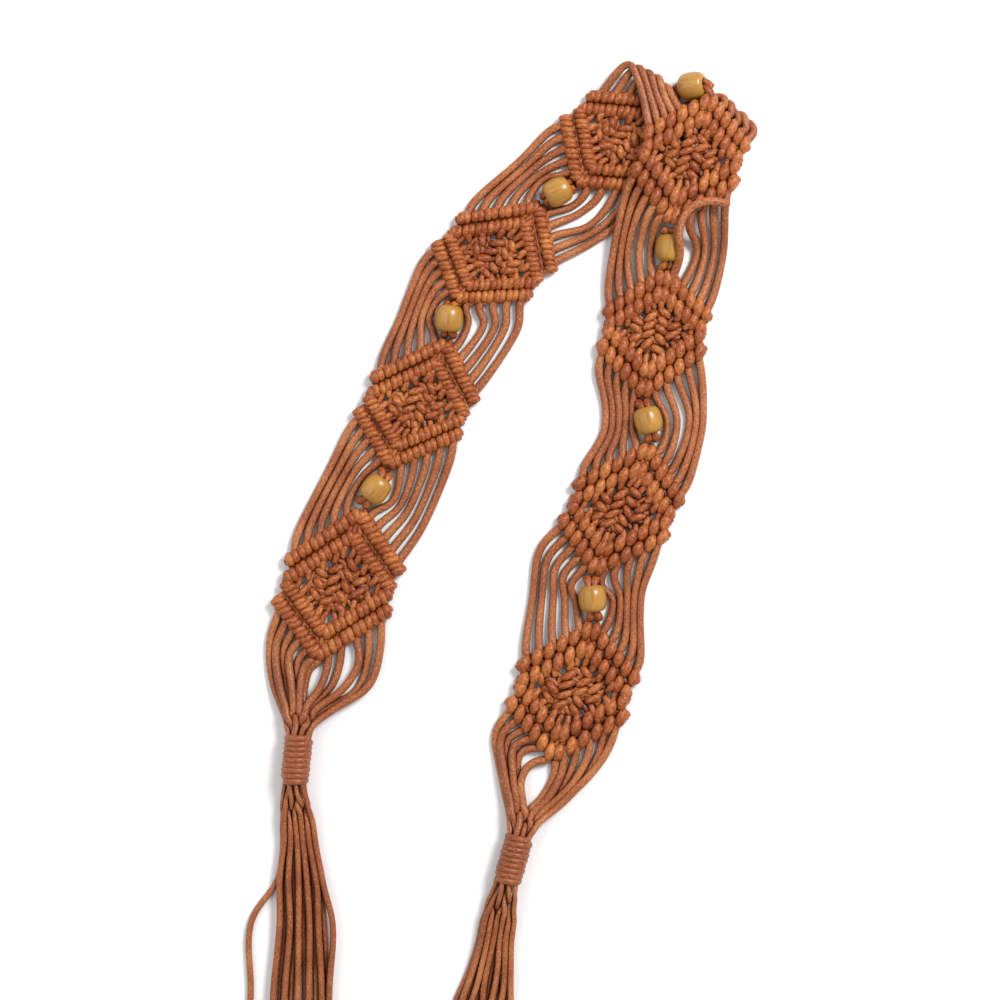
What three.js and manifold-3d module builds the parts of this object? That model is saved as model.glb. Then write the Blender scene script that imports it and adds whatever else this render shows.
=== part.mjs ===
// A knotted cord belt with wooden beads, laid out flat and folded over at its top.
// Twelve waxed cords run the whole length. They are hitched into eight diamonds with
// square knots inside, threaded through seven beads, wrapped at both ends and left as tassels.
// Millimetres, +Z up. The belt lies on Z = 0, with its two tassels towards -Y.
import * as THREE from 'three';
import { mergeVertices } from 'three/addons/utils/BufferGeometryUtils.js';
import Module from 'manifold-3d';

const wasm = await Module();
wasm.setup();

// Driving sizes
const CORD = 3;
const DIAMOND_LENGTH = 64;
const DIAMOND_WIDTH = 50;
const BEAD_DIAMETER = 12.2;
const BEAD_LENGTH = 11.5;
const WRAP_DIAMETER = 12;
const WRAP_LENGTH = 23;
const TASSEL_LENGTH = 120;
const CLEARANCE = 0.3;

// Sizes that follow from the cord: a hitched row is a cord inside a doubled winding
const ROW_WIDTH = 1.93 * CORD;
const ROW_HEIGHT = 2.15 * CORD;
const KNOT_WIDTH = 3.8 * CORD;
const KNOT_LENGTH = 2.6 * CORD;
const PAIR_DIAMETER = 1.7 * CORD;
const BORE_DIAMETER = PAIR_DIAMETER + 2 * CLEARANCE;
const HALF_LENGTH = DIAMOND_LENGTH / 2;
const HALF_WIDTH = DIAMOND_WIDTH / 2;
const CORDS_PER_SIDE = 5;
const FOLD_LIFT = ROW_HEIGHT + 2 * CLEARANCE;
const CORD_LIFT = CORD + 2 * CLEARANCE;

// The middle line of the rows, in a diamond's own plane: u across it, v along it
const OUTER_TOP = HALF_LENGTH - 0.67 * ROW_WIDTH;
const INNER_TOP = OUTER_TOP - 1.48 * ROW_WIDTH;
const INNER_SIDE = HALF_WIDTH - 0.57 * ROW_WIDTH;
const OUTER_END = new THREE.Vector2(HALF_WIDTH - 0.3 * ROW_WIDTH, 1.22 * ROW_WIDTH);

// The diamonds in order along the belt. up is the direction of the long axis in degrees,
// long and wide are shares of the diamond's size, skew turns the cross axis in degrees and
// sag moves the side corners along the long axis, as a share of the length.
// The first four show their front and run up the sheet, the others show their back.
const DIAMONDS = [
  { letter: 'a', up: 73.6, long: 1.15, wide: 1.03, skew: 11, sag: -0.01, front: true },
  { letter: 'b', up: 65.3, long: 1.03, wide: 0.95, skew: 12, sag: -0.02, front: true },
  { letter: 'c', up: 48.1, long: 0.95, wide: 0.97, skew: 13, sag: -0.06, front: true },
  { letter: 'd', up: 40.9, long: 0.93, wide: 1.04, skew: 11, sag: 0, front: true },
  { letter: 'e', up: 72.2, long: 0.96, wide: 0.95, skew: 11, sag: 0.03, front: false },
  { letter: 'f', up: 80.1, long: 0.92, wide: 0.95, skew: 7, sag: 0.04, front: false },
  { letter: 'g', up: 66.6, long: 1.02, wide: 0.98, skew: 14, sag: -0.01, front: false },
  { letter: 'h', up: 73.1, long: 1.04, wide: 1.08, skew: 10, sag: 0.01, front: false },
];

// The beaded gaps between them: the heading from tip to tip and the direction across the
// gap in degrees, the gap as a share of the bead's length, and how far the bead lies to the
// left of the line, as a share of its diameter.
const GAPS = [
  { heading: 52.9, long: 1.45, across: -37, aside: -0.08 },
  { heading: 84.8, long: 1.16, across: -5, aside: 0.05 },
  { heading: 27.8, long: 1.07, across: -46, aside: 0.03 },
  { heading: 3.3, long: 1.38, across: 0, aside: 0.3 },
  { heading: -92.5, long: 1.46, across: -2, aside: 0.1 },
  { heading: -76.3, long: 1.5, across: 0, aside: 0.04 },
  { heading: -85.9, long: 1.54, across: 0, aside: -0.04 },
];
const FOLD = 3;

// Where the five side cords pass a bead, outermost first: the free way from the cord that
// hugs the bead, as shares of the diamond's width. One row for each side of each flat gap.
// full is how far the outermost cord swings out below the upper diamond, and over is 1 where
// the cords cross others that lie on the surface. side is -1 on the left, 1 on the right.
const SIDE_CORDS = [
  { gap: 0, side: -1, full: 0.03, over: 0, first: 0.29, second: 0.22, third: 0.15, fourth: 0.08, fifth: 0 },
  { gap: 0, side: 1, full: 0.03, over: 0, first: 0.36, second: 0.27, third: 0.18, fourth: 0.1, fifth: 0.02 },
  { gap: 1, side: -1, full: 0.02, over: 0, first: 0.26, second: 0.2, third: 0.14, fourth: 0.08, fifth: 0.02 },
  { gap: 1, side: 1, full: 0.02, over: 0, first: 0.45, second: 0.34, third: 0.25, fourth: 0.15, fifth: 0.01 },
  { gap: 2, side: -1, full: 0.03, over: 0, first: 0.27, second: 0.2, third: 0.14, fourth: 0.07, fifth: 0.01 },
  { gap: 2, side: 1, full: 0.05, over: 0, first: 0.38, second: 0.31, third: 0.24, fourth: 0.1, fifth: 0.01 },
  { gap: 4, side: -1, full: 0, over: 1, first: 0.32, second: 0.26, third: 0.2, fourth: 0.1, fifth: 0 },
  { gap: 4, side: 1, full: 0, over: 0, first: 0.32, second: 0.24, third: 0.16, fourth: 0.09, fifth: 0.03 },
  { gap: 5, side: -1, full: 0.1, over: 0, first: 0.15, second: 0.12, third: 0.09, fourth: 0.05, fifth: 0 },
  { gap: 5, side: 1, full: 0, over: 0, first: 0.32, second: 0.27, third: 0.21, fourth: 0.1, fifth: 0.01 },
  { gap: 6, side: -1, full: 0.2, over: 0, first: 0.36, second: 0.28, third: 0.18, fourth: 0.08, fifth: -0.01 },
  { gap: 6, side: 1, full: 0.04, over: 0, first: 0.26, second: 0.21, third: 0.15, fourth: 0.09, fifth: 0.02 },
];

// The cords at the fold, from the bead there, as shares of the diamond's width. The left
// ones rise over a crest. The right ones run out under the upper diamond and turn back.
const FOLD_LEFT = [
  { crestX: -0.54, crestY: 0.2 },
  { crestX: -0.47, crestY: 0.17 },
  { crestX: -0.4, crestY: 0.13 },
  { crestX: -0.33, crestY: 0.08 },
  { crestX: -0.3, crestY: 0.03 },
];
const FOLD_RIGHT = [
  { outX: 0.37, outY: -0.25, turnX: 0.55, turnY: -0.38 },
  { outX: 0.32, outY: -0.21, turnX: 0.49, turnY: -0.34 },
  { outX: 0.27, outY: -0.17, turnX: 0.43, turnY: -0.28 },
  { outX: 0.21, outY: -0.13, turnX: 0.37, turnY: -0.21 },
  { outX: 0.15, outY: -0.09, turnX: 0.31, turnY: -0.14 },
];

// The two ends of the belt. heading is the way from the last tip to the winding, away its
// distance as a share of the diamond's width, and turn the winding's own heading, all at
// the end where the belt is gathered. The spans are places across the cords at a third and
// two thirds of the way, as shares of the diamond's width, outermost cord first.
const ENDS = [
  {
    number: 1, diamond: 'a', heading: -103, away: 0.68, turn: -96,
    left: { high: -0.32, highInner: -0.08, low: -0.2, lowInner: -0.07 },
    right: { high: 0.5, highInner: 0.15, low: 0.38, lowInner: 0.07 },
  },
  {
    number: 2, diamond: 'h', heading: -113, away: 0.72, turn: -106,
    left: { high: -0.4, highInner: -0.13, low: -0.25, lowInner: -0.05 },
    right: { high: 0.37, highInner: 0.12, low: 0.22, lowInner: 0.05 },
  },
];

// The tassels: places across at the half and at the end, as shares of the winding's
// diameter, and how far the first strand strays from the others there.
const TASSELS = [
  { number: 1, left: -0.7, right: 1.4, leftEnd: -0.85, rightEnd: 1.55, turn: -91, strayed: 0.75 },
  { number: 2, left: -1.3, right: 0.75, leftEnd: -1.6, rightEnd: 0.75, turn: -97, strayed: 0 },
];
const STRANDS = 12;

const cordMaterial = new THREE.MeshStandardMaterial({ color: 0xb35a32, roughness: 0.55, metalness: 0 });
const rowMaterial = new THREE.MeshStandardMaterial({ color: 0xa9522c, roughness: 0.55, metalness: 0 });
const beadMaterial = new THREE.MeshStandardMaterial({ color: 0xc49a4a, roughness: 0.3, metalness: 0 });

const Z = new THREE.Vector3(0, 0, 1);
const smooth = THREE.MathUtils.smoothstep;
const mix = THREE.MathUtils.lerp;

function heading(degrees) {
  const angle = THREE.MathUtils.degToRad(degrees);
  return new THREE.Vector2(Math.cos(angle), Math.sin(angle));
}

function walk(start, degrees, length) {
  return heading(degrees).multiplyScalar(length).add(start);
}

// Lays the diamonds and gaps end to end and returns both lists.
function layBelt() {
  const diamonds = [];
  const gaps = [];
  let tip = new THREE.Vector2(0, 0);
  DIAMONDS.forEach((row, index) => {
    const way = row.front ? row.up : row.up + 180;
    const far = walk(tip, way, row.long * DIAMOND_LENGTH);
    diamonds.push({
      ...row,
      index,
      centre: tip.clone().add(far).multiplyScalar(0.5),
      along: heading(row.up).multiplyScalar(row.long),
      cross: heading(row.up - 90 + row.skew).multiplyScalar(row.wide),
      bend: row.sag * DIAMOND_LENGTH,
      raised: index === FOLD + 1,
    });
    tip = far;
    const gap = GAPS[index];
    if (gap) {
      const next = walk(tip, gap.heading, gap.long * BEAD_LENGTH);
      const middle = tip.clone().add(next).multiplyScalar(0.5);
      gaps.push({
        ...gap,
        from: tip,
        to: next,
        middle: walk(middle, gap.heading + 90, gap.aside * BEAD_DIAMETER),
        crosswise: heading(gap.across),
      });
      tip = next;
    }
  });
  return { diamonds, gaps };
}

const { diamonds, gaps } = layBelt();
const diamondOf = (letter) => diamonds.find((diamond) => diamond.letter === letter);

// How high a diamond's underside lies: only the one above the fold is raised, by the
// diamond below it on its left and by the cords below it elsewhere.
function liftAt(diamond, u, v) {
  if (!diamond.raised) return 0;
  const overDiamond = (1 - smooth(u, -0.1 * HALF_WIDTH, 0.85 * HALF_WIDTH))
    * smooth(v, -HALF_LENGTH, -0.64 * HALF_LENGTH);
  return mix(CORD_LIFT, FOLD_LIFT, overDiamond);
}

function onDiamond(diamond, u, v, z) {
  const bent = v + diamond.bend * (1 - Math.abs(v) / HALF_LENGTH);
  const place = diamond.centre.clone();
  place.addScaledVector(diamond.cross, u).addScaledVector(diamond.along, bent);
  return new THREE.Vector3(place.x, place.y, z + liftAt(diamond, u, v));
}

// Joins rings of points into one closed mesh, with flat ends unless the rings run round.
function loft(rings, round = false) {
  const size = rings[0].length;
  const positions = rings.flat().flatMap((point) => point.toArray());
  const faces = [];
  const last = round ? rings.length : rings.length - 1;
  for (let ring = 0; ring < last; ring += 1) {
    const next = (ring + 1) % rings.length;
    for (let side = 0; side < size; side += 1) {
      const other = (side + 1) % size;
      const near = ring * size;
      const far = next * size;
      faces.push(near + side, near + other, far + other, near + side, far + other, far + side);
    }
  }
  if (!round) {
    const end = (rings.length - 1) * size;
    for (let side = 1; side < size - 1; side += 1) {
      faces.push(0, side + 1, side, end, end + side, end + side + 1);
    }
  }
  const geometry = new THREE.BufferGeometry();
  geometry.setAttribute('position', new THREE.Float32BufferAttribute(positions, 3));
  geometry.setIndex(faces);
  return geometry;
}

function turnedOut(geometry) {
  const at = geometry.getAttribute('position');
  const index = geometry.getIndex().array;
  const corner = (place) => new THREE.Vector3().fromBufferAttribute(at, index[place]);
  let volume = 0;
  for (let face = 0; face < index.length; face += 3) {
    volume += corner(face).dot(corner(face + 1).cross(corner(face + 2)));
  }
  if (volume < 0) geometry.setIndex(Array.from(index).reverse());
  return geometry;
}

function solidOf(geometry) {
  const bare = geometry.clone();
  bare.deleteAttribute('normal');
  bare.deleteAttribute('uv');
  const merged = turnedOut(mergeVertices(bare, 1e-4));
  return new wasm.Manifold(new wasm.Mesh({
    numProp: 3,
    vertProperties: merged.getAttribute('position').array,
    triVerts: new Uint32Array(merged.getIndex().array),
  }));
}

function geometryOf(solid) {
  const mesh = solid.getMesh();
  const geometry = new THREE.BufferGeometry();
  geometry.setAttribute('position', new THREE.BufferAttribute(mesh.vertProperties, 3));
  geometry.setIndex(new THREE.BufferAttribute(mesh.triVerts, 1));
  return geometry;
}

function joined(geometries) {
  return geometryOf(geometries.map(solidOf).reduce((sum, solid) => sum.add(solid)));
}

// The section of a hitched row, as shares of its width and height.
const ROW_SECTION = [[-0.5, 0], [0.5, 0], [0.36, 1], [-0.36, 1]];

function rowRing(diamond, centre, side) {
  return ROW_SECTION.map(([across, high]) => {
    const reach = across * ROW_WIDTH;
    return onDiamond(diamond, centre.x + side.x * reach, centre.y + side.y * reach, high * ROW_HEIGHT);
  });
}

// One outer row of a diamond, from its tip to its side. topSign and sideSign say which.
function outerRow(diamond, topSign, sideSign) {
  const start = new THREE.Vector2(CLEARANCE / 2, OUTER_TOP);
  const run = OUTER_END.clone().sub(start).normalize();
  const normal = new THREE.Vector2(-run.y, run.x);
  const mitre = new THREE.Vector2(0, 1 / run.x);
  const stations = [{ centre: start, side: mitre }, { centre: OUTER_END, side: normal }];
  if (diamond.raised) stations.splice(1, 0, { centre: start.clone().lerp(OUTER_END, 0.4), side: normal });
  const flip = ({ x, y }) => new THREE.Vector2(x * sideSign, y * topSign);
  return loft(stations.map(({ centre, side }) => rowRing(diamond, flip(centre), flip(side))));
}

// The ring of inner rows, a blunt rhombus.
function innerRing(diamond) {
  const corners = [
    new THREE.Vector2(0, INNER_TOP), new THREE.Vector2(INNER_SIDE, 0),
    new THREE.Vector2(0, -INNER_TOP), new THREE.Vector2(-INNER_SIDE, 0),
  ];
  const slope = Math.hypot(INNER_TOP, INNER_SIDE);
  const reach = [slope / INNER_SIDE, 1.14];
  return loft(corners.map((corner, index) => (
    rowRing(diamond, corner, corner.clone().normalize().multiplyScalar(reach[index % 2]))
  )), true);
}

// The four square knots inside a diamond, one above, two beside and one below, drawn
// tight together: a cross whose four lobes narrow to their tops.
const KNOT_BESIDE = 0.68 * KNOT_WIDTH;
const KNOT_ABOVE = 0.8 * KNOT_LENGTH;

function squareKnots(diamond) {
  const wide = KNOT_WIDTH / 2;
  const long = KNOT_LENGTH / 2;
  const quarter = [
    [KNOT_BESIDE + 0.8 * wide, 0.9 * long], [wide, 1.05 * long], [0.75 * wide, KNOT_ABOVE + 0.9 * long],
  ];
  const mirror = (points, x, y) => points.map(([u, v]) => [u * x, v * y]);
  const outline = [
    ...quarter,
    ...mirror(quarter, -1, 1).reverse(),
    ...mirror(quarter, -1, -1),
    ...mirror(quarter, 1, -1).reverse(),
  ];
  const shape = new THREE.Shape(outline.map(([u, v]) => new THREE.Vector2(u, v)));
  const block = new THREE.ExtrudeGeometry(shape, { depth: ROW_HEIGHT, bevelEnabled: false });
  const at = block.getAttribute('position');
  const narrowing = 0.9;
  for (let index = 0; index < at.count; index += 1) {
    const high = at.getZ(index);
    const size = high > 0 ? narrowing : 1;
    const place = onDiamond(diamond, at.getX(index) * size, at.getY(index) * size, high);
    at.setXYZ(index, place.x, place.y, place.z);
  }
  return block;
}

// Two cords side by side from a knot into the inner row, as one flat bar.
function pairLink(diamond, start, end) {
  const run = end.clone().sub(start).normalize();
  const side = new THREE.Vector2(-run.y, run.x).multiplyScalar(0.75 * CORD);
  const low = 0.5 * (ROW_HEIGHT - CORD);
  const corners = [[-1, low], [1, low], [1, low + CORD], [-1, low + CORD]];
  return loft([start, end].map((place) => corners.map(([way, z]) => onDiamond(
    diamond,
    place.x + way * side.x,
    place.y + way * side.y,
    z,
  ))));
}

function diamondBody(diamond) {
  const onRow = (share) => new THREE.Vector2(share * INNER_SIDE, (1 - share) * INNER_TOP);
  const links = [
    { start: new THREE.Vector2(0.27 * KNOT_WIDTH, KNOT_ABOVE), end: onRow(0.2) },
    { start: new THREE.Vector2(KNOT_BESIDE + 0.1 * KNOT_WIDTH, 0), end: onRow(0.55) },
  ];
  const parts = [innerRing(diamond), squareKnots(diamond)];
  for (const [x, y] of [[1, 1], [-1, 1], [1, -1], [-1, -1]]) {
    const quarter = new THREE.Vector2(x, y);
    for (const { start, end } of links) {
      parts.push(pairLink(diamond, start.clone().multiply(quarter), end.clone().multiply(quarter)));
    }
  }
  return joined(parts);
}

// A four-sided cord along a smooth curve through a few points, with its rings evenly
// spaced or, if not, at the points themselves.
const CORD_SIDES = 4;
const CORD_RADIUS = 0.62 * CORD;

function cordTube(points, steps, { radius = CORD_RADIUS, even = true } = {}) {
  const curve = new THREE.CatmullRomCurve3(points, false, 'centripetal');
  const rings = [];
  for (let step = 0; step <= steps; step += 1) {
    const share = step / steps;
    const centre = even ? curve.getPointAt(share) : curve.getPoint(share);
    const tangent = even ? curve.getTangentAt(share) : curve.getTangent(share);
    const side = new THREE.Vector3().crossVectors(Z, tangent).normalize();
    const above = new THREE.Vector3().crossVectors(tangent, side);
    const ring = [];
    for (let corner = 0; corner < CORD_SIDES; corner += 1) {
      const angle = Math.PI * (2 * corner + 1) / CORD_SIDES - Math.PI / 2;
      ring.push(centre.clone()
        .addScaledVector(side, Math.cos(angle) * radius)
        .addScaledVector(above, Math.sin(angle) * radius));
    }
    rings.push(ring);
  }
  return loft(rings);
}

// Where a side cord leaves an outer row, and a point a little outside the row.
const CORD_LEVEL = 0.42 * ROW_HEIGHT;

function rowPoint(diamond, topSign, sideSign, order, innermost = 0.16) {
  const share = mix(0.9, innermost, order / (CORDS_PER_SIDE - 1));
  const start = new THREE.Vector2(0, OUTER_TOP);
  const centre = start.lerp(OUTER_END, share);
  return onDiamond(diamond, centre.x * sideSign, centre.y * topSign, CORD_LEVEL);
}

function besideRow(diamond, topSign, sideSign, order) {
  const inside = rowPoint(diamond, topSign, sideSign, order);
  const way = diamond.along.clone().multiplyScalar(topSign).addScaledVector(diamond.cross, 0.45 * sideSign);
  way.normalize().multiplyScalar(ROW_WIDTH);
  return new THREE.Vector3(inside.x + way.x, inside.y + way.y, inside.z - 0.2 * CORD);
}

const ORDERS = ['first', 'second', 'third', 'fourth', 'fifth'];

// The cords on one side of a flat gap, with the row that each end of them is hitched into.
function sideCords(row) {
  const gap = gaps[row.gap];
  const [early, late] = [diamonds[row.gap], diamonds[row.gap + 1]];
  const [upper, lower] = early.front ? [late, early] : [early, late];
  const hug = BEAD_DIAMETER / 2 + CLEARANCE + CORD / 2;
  const cords = ORDERS.map((name, order) => {
    const reach = row.side * (hug + row[name] * DIAMOND_WIDTH);
    const pass = gap.middle.clone().addScaledVector(gap.crosswise, reach);
    const swing = row.side * row.full * DIAMOND_WIDTH * (1 - order / CORDS_PER_SIDE);
    const shoulder = besideRow(upper, -1, row.side, order);
    shoulder.x += swing * gap.crosswise.x;
    shoulder.y += swing * gap.crosswise.y;
    return cordTube([
      rowPoint(upper, -1, row.side, order),
      shoulder,
      new THREE.Vector3(pass.x, pass.y, CORD / 2 + row.over * CORD_LIFT * (1 - order / CORDS_PER_SIDE)),
      besideRow(lower, 1, row.side, order),
      rowPoint(lower, 1, row.side, order),
    ], 3);
  });
  return joined([outerRow(upper, -1, row.side), ...cords, outerRow(lower, 1, row.side)]);
}

function foldCords(side) {
  const [below, above] = [diamonds[FOLD], diamonds[FOLD + 1]];
  const bead = gaps[FOLD].middle;
  const near = (x, y, z) => new THREE.Vector3(bead.x + x * DIAMOND_WIDTH, bead.y + y * DIAMOND_WIDTH, z);
  const table = side < 0 ? FOLD_LEFT : FOLD_RIGHT;
  const cords = table.map((row, order) => {
    const middle = side < 0
      ? [near(row.crestX, row.crestY, FOLD_LIFT)]
      : [near(row.outX, row.outY, CORD / 2), near(row.turnX, row.turnY, CORD_LIFT)];
    return cordTube([
      rowPoint(below, 1, side, order),
      ...middle,
      rowPoint(above, 1, side, order, side < 0 ? 0.4 : 0.2),
    ], side < 0 ? 4 : 6, { even: false });
  });
  return joined([outerRow(below, 1, side), ...cords, outerRow(above, 1, side)]);
}

// A drilled bead, turned about its bore.
const BEAD_SIDES = 10;

function beadGeometry() {
  const radius = BEAD_DIAMETER / 2;
  const half = BEAD_LENGTH / 2;
  const bore = BORE_DIAMETER / 2;
  const profile = [
    [bore, -half], [mix(bore, radius, 0.45), -half], [radius, -0.35 * half],
    [radius, 0.35 * half], [mix(bore, radius, 0.45), half], [bore, half],
    [bore, -half],
  ].map(([x, y]) => new THREE.Vector2(x, y));
  return new THREE.LatheGeometry(profile, BEAD_SIDES);
}

const belt = new THREE.Group();

function addPiece(name, geometry, material) {
  geometry.computeBoundingBox();
  const middle = geometry.boundingBox.getCenter(new THREE.Vector3());
  geometry.translate(-middle.x, -middle.y, -middle.z);
  const mesh = new THREE.Mesh(geometry, material);
  mesh.name = name;
  mesh.position.copy(middle);
  belt.add(mesh);
  return mesh;
}

// A bead and the pair of cords through it, from the tip of one diamond to the next.
function addBead(gap, index) {
  const atFold = index === FOLD;
  const rest = BEAD_DIAMETER / 2;
  const rise = atFold ? 0.25 * BEAD_LENGTH : 0;
  const height = atFold ? rest + 0.12 * BEAD_DIAMETER : rest;
  const way = gap.to.clone().sub(gap.from).normalize();
  const axis = new THREE.Vector3(way.x, way.y, 2 * rise / BEAD_LENGTH).normalize();
  const centre = new THREE.Vector3(gap.middle.x, gap.middle.y, height);

  const bead = new THREE.Mesh(beadGeometry(), beadMaterial);
  bead.name = `bead_${index + 1}`;
  bead.position.copy(centre);
  bead.quaternion.setFromUnitVectors(new THREE.Vector3(0, 1, 0), axis);
  belt.add(bead);

  const reach = gap.from.distanceTo(gap.to) / 2;
  const ends = [-reach, reach].map((length) => centre.clone().addScaledVector(axis, length));
  addPiece(`centre_cords_${index + 1}`, solidTube(ends, PAIR_DIAMETER / 2), cordMaterial);
}

// A straight eight-sided bar between two points.
function solidTube([start, end], radius) {
  const length = start.distanceTo(end);
  const bar = new THREE.CylinderGeometry(radius, radius, length, 8);
  const turn = new THREE.Quaternion();
  turn.setFromUnitVectors(new THREE.Vector3(0, 1, 0), end.clone().sub(start).normalize());
  bar.applyQuaternion(turn);
  const middle = start.clone().lerp(end, 0.5);
  return bar.translate(middle.x, middle.y, middle.z);
}

// The end of the belt: two last rows, ten side cords and the centre pair, run into a neck
// that goes half way into the winding. The tassel's neck fills the other half.
const NECK_DIAMETER = WRAP_DIAMETER - 2 * CLEARANCE - 1.2 * CORD;
const NECK_LEVEL = WRAP_DIAMETER / 2;
const SHEAF_HEIGHT = 2 * CORD;
const SHEAF_START = 0.8;

function endPlaces(end) {
  const diamond = diamondOf(end.diamond);
  const tip = onDiamond(diamond, 0, -OUTER_TOP, 0);
  const start = new THREE.Vector2(tip.x, tip.y);
  const mouth = walk(start, end.heading, end.away * DIAMOND_WIDTH);
  const foot = walk(mouth, end.turn, WRAP_LENGTH);
  return { diamond, start, mouth, foot };
}

// A neck that spreads into a flat sheaf, from which the cords run on.
function neckGeometry(stations) {
  const sides = 8;
  return loft(stations.map(({ place, turn, wide, high, level }) => {
    const across = heading(turn + 90);
    const ring = [];
    for (let side = 0; side < sides; side += 1) {
      const angle = Math.PI * (2 * side + 1) / sides;
      const reach = Math.cos(angle) * wide / 2;
      ring.push(new THREE.Vector3(
        place.x + across.x * reach,
        place.y + across.y * reach,
        level + Math.sin(angle) * high / 2,
      ));
    }
    return ring;
  }));
}

// Cords lie in two layers where they are close: a cord's level at its place in the sheaf.
const layerLevel = (order) => (order % 2 ? 1.42 : 0.46) * CORD;

function gatherGeometry(end) {
  const { diamond, start, mouth, foot } = endPlaces(end);
  const down = mouth.clone().sub(start);
  const sheafWidth = 1.25 * WRAP_DIAMETER;
  const between = (share, span, z) => {
    const place = start.clone().addScaledVector(down, share);
    return new THREE.Vector3(place.x + span * DIAMOND_WIDTH, place.y, z);
  };
  const neck = neckGeometry([
    { place: start.clone().addScaledVector(down, SHEAF_START), turn: end.turn, wide: sheafWidth,
      high: SHEAF_HEIGHT, level: 0.5 * SHEAF_HEIGHT },
    { place: mouth, turn: end.turn, wide: NECK_DIAMETER, high: NECK_DIAMETER, level: NECK_LEVEL },
    { place: mouth.clone().lerp(foot, 0.5), turn: end.turn, wide: NECK_DIAMETER,
      high: NECK_DIAMETER, level: NECK_LEVEL },
  ]);
  const cords = [];
  for (const side of [-1, 1]) {
    const spans = side < 0 ? end.left : end.right;
    for (let order = 0; order < CORDS_PER_SIDE; order += 1) {
      const share = order / (CORDS_PER_SIDE - 1);
      const inSheaf = side * mix(0.42, 0.1, share) * sheafWidth / DIAMOND_WIDTH;
      cords.push(cordTube([
        rowPoint(diamond, -1, side, order),
        between(0.33, mix(spans.high, spans.highInner, share), layerLevel(0)),
        between(0.67, mix(spans.low, spans.lowInner, share), layerLevel(order)),
        between(SHEAF_START + 0.03, inSheaf, layerLevel(order)),
      ], 3));
    }
  }
  const rows = [-1, 1].map((side) => outerRow(diamond, -1, side));
  const pair = cordTube([
    onDiamond(diamond, 0, -OUTER_TOP, CORD_LEVEL),
    between(0.5, 0, CORD),
    between(SHEAF_START + 0.03, 0, CORD),
  ], 2, { radius: 0.4 * PAIR_DIAMETER });
  const ties = [-1, 1].map((side) => onDiamond(diamond, side * CORD, -OUTER_TOP, CORD_LEVEL));
  return joined([...rows, ...cords, pair, cordTube(ties, 1), neck]);
}

// The winding round the neck: a sleeve with one rib for each turn of cord.
const WRAP_TURNS = 8;
const WRAP_SIDES = 8;

function wrapGeometry() {
  const outside = WRAP_DIAMETER / 2;
  const inside = (NECK_DIAMETER / 2 + CLEARANCE) / Math.cos(Math.PI / WRAP_SIDES);
  const turn = WRAP_LENGTH / WRAP_TURNS;
  const profile = [new THREE.Vector2(inside, 0)];
  for (let index = 0; index < WRAP_TURNS; index += 1) {
    profile.push(new THREE.Vector2(0.93 * outside, (index + 0.04) * turn));
    profile.push(new THREE.Vector2(outside, (index + 0.5) * turn));
  }
  profile.push(new THREE.Vector2(0.93 * outside, WRAP_LENGTH));
  profile.push(new THREE.Vector2(inside, WRAP_LENGTH));
  profile.push(profile[0].clone());
  return new THREE.LatheGeometry(profile, WRAP_SIDES);
}

function addWrap(end) {
  const { mouth, foot } = endPlaces(end);
  const way = foot.clone().sub(mouth).normalize();
  const wrap = new THREE.Mesh(wrapGeometry(), cordMaterial);
  wrap.name = `wrap_${end.number}`;
  wrap.position.set(mouth.x, mouth.y, WRAP_DIAMETER / 2);
  wrap.quaternion.setFromUnitVectors(new THREE.Vector3(0, 1, 0), new THREE.Vector3(way.x, way.y, 0));
  belt.add(wrap);
}

function tasselGeometry(tassel, end) {
  const { mouth, foot } = endPlaces(end);
  const across = heading(tassel.turn + 90);
  const sheaf = 0.12;
  const sheafWidth = 1.35 * WRAP_DIAMETER;
  const place = (share, span, z) => {
    const point = walk(foot, tassel.turn, share * TASSEL_LENGTH);
    point.addScaledVector(across, span * WRAP_DIAMETER);
    return new THREE.Vector3(point.x, point.y, z);
  };
  const neck = neckGeometry([
    { place: mouth.clone().lerp(foot, 0.5 + CLEARANCE / WRAP_LENGTH), turn: end.turn,
      wide: NECK_DIAMETER, high: NECK_DIAMETER, level: NECK_LEVEL },
    { place: foot, turn: end.turn, wide: NECK_DIAMETER, high: NECK_DIAMETER, level: NECK_LEVEL },
    { place: walk(foot, tassel.turn, sheaf * TASSEL_LENGTH), turn: tassel.turn, wide: sheafWidth,
      high: SHEAF_HEIGHT, level: 0.5 * SHEAF_HEIGHT },
  ]);
  const strands = [];
  for (let index = 0; index < STRANDS; index += 1) {
    const share = index / (STRANDS - 1);
    const astray = index === 0 ? tassel.strayed : 0;
    const head = mix(-0.43, 0.43, share) * sheafWidth / WRAP_DIAMETER;
    const half = mix(tassel.left, tassel.right, share);
    strands.push(cordTube([
      place(0.9 * sheaf, head, layerLevel(index)),
      place(0.34, mix(head, half, 0.8), layerLevel(index)),
      place(0.5, half - astray, layerLevel(index)),
      place(1, mix(tassel.leftEnd, tassel.rightEnd, share) - astray, layerLevel(index)),
    ], astray ? 4 : 2));
  }
  return joined([neck, ...strands]);
}

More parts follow.
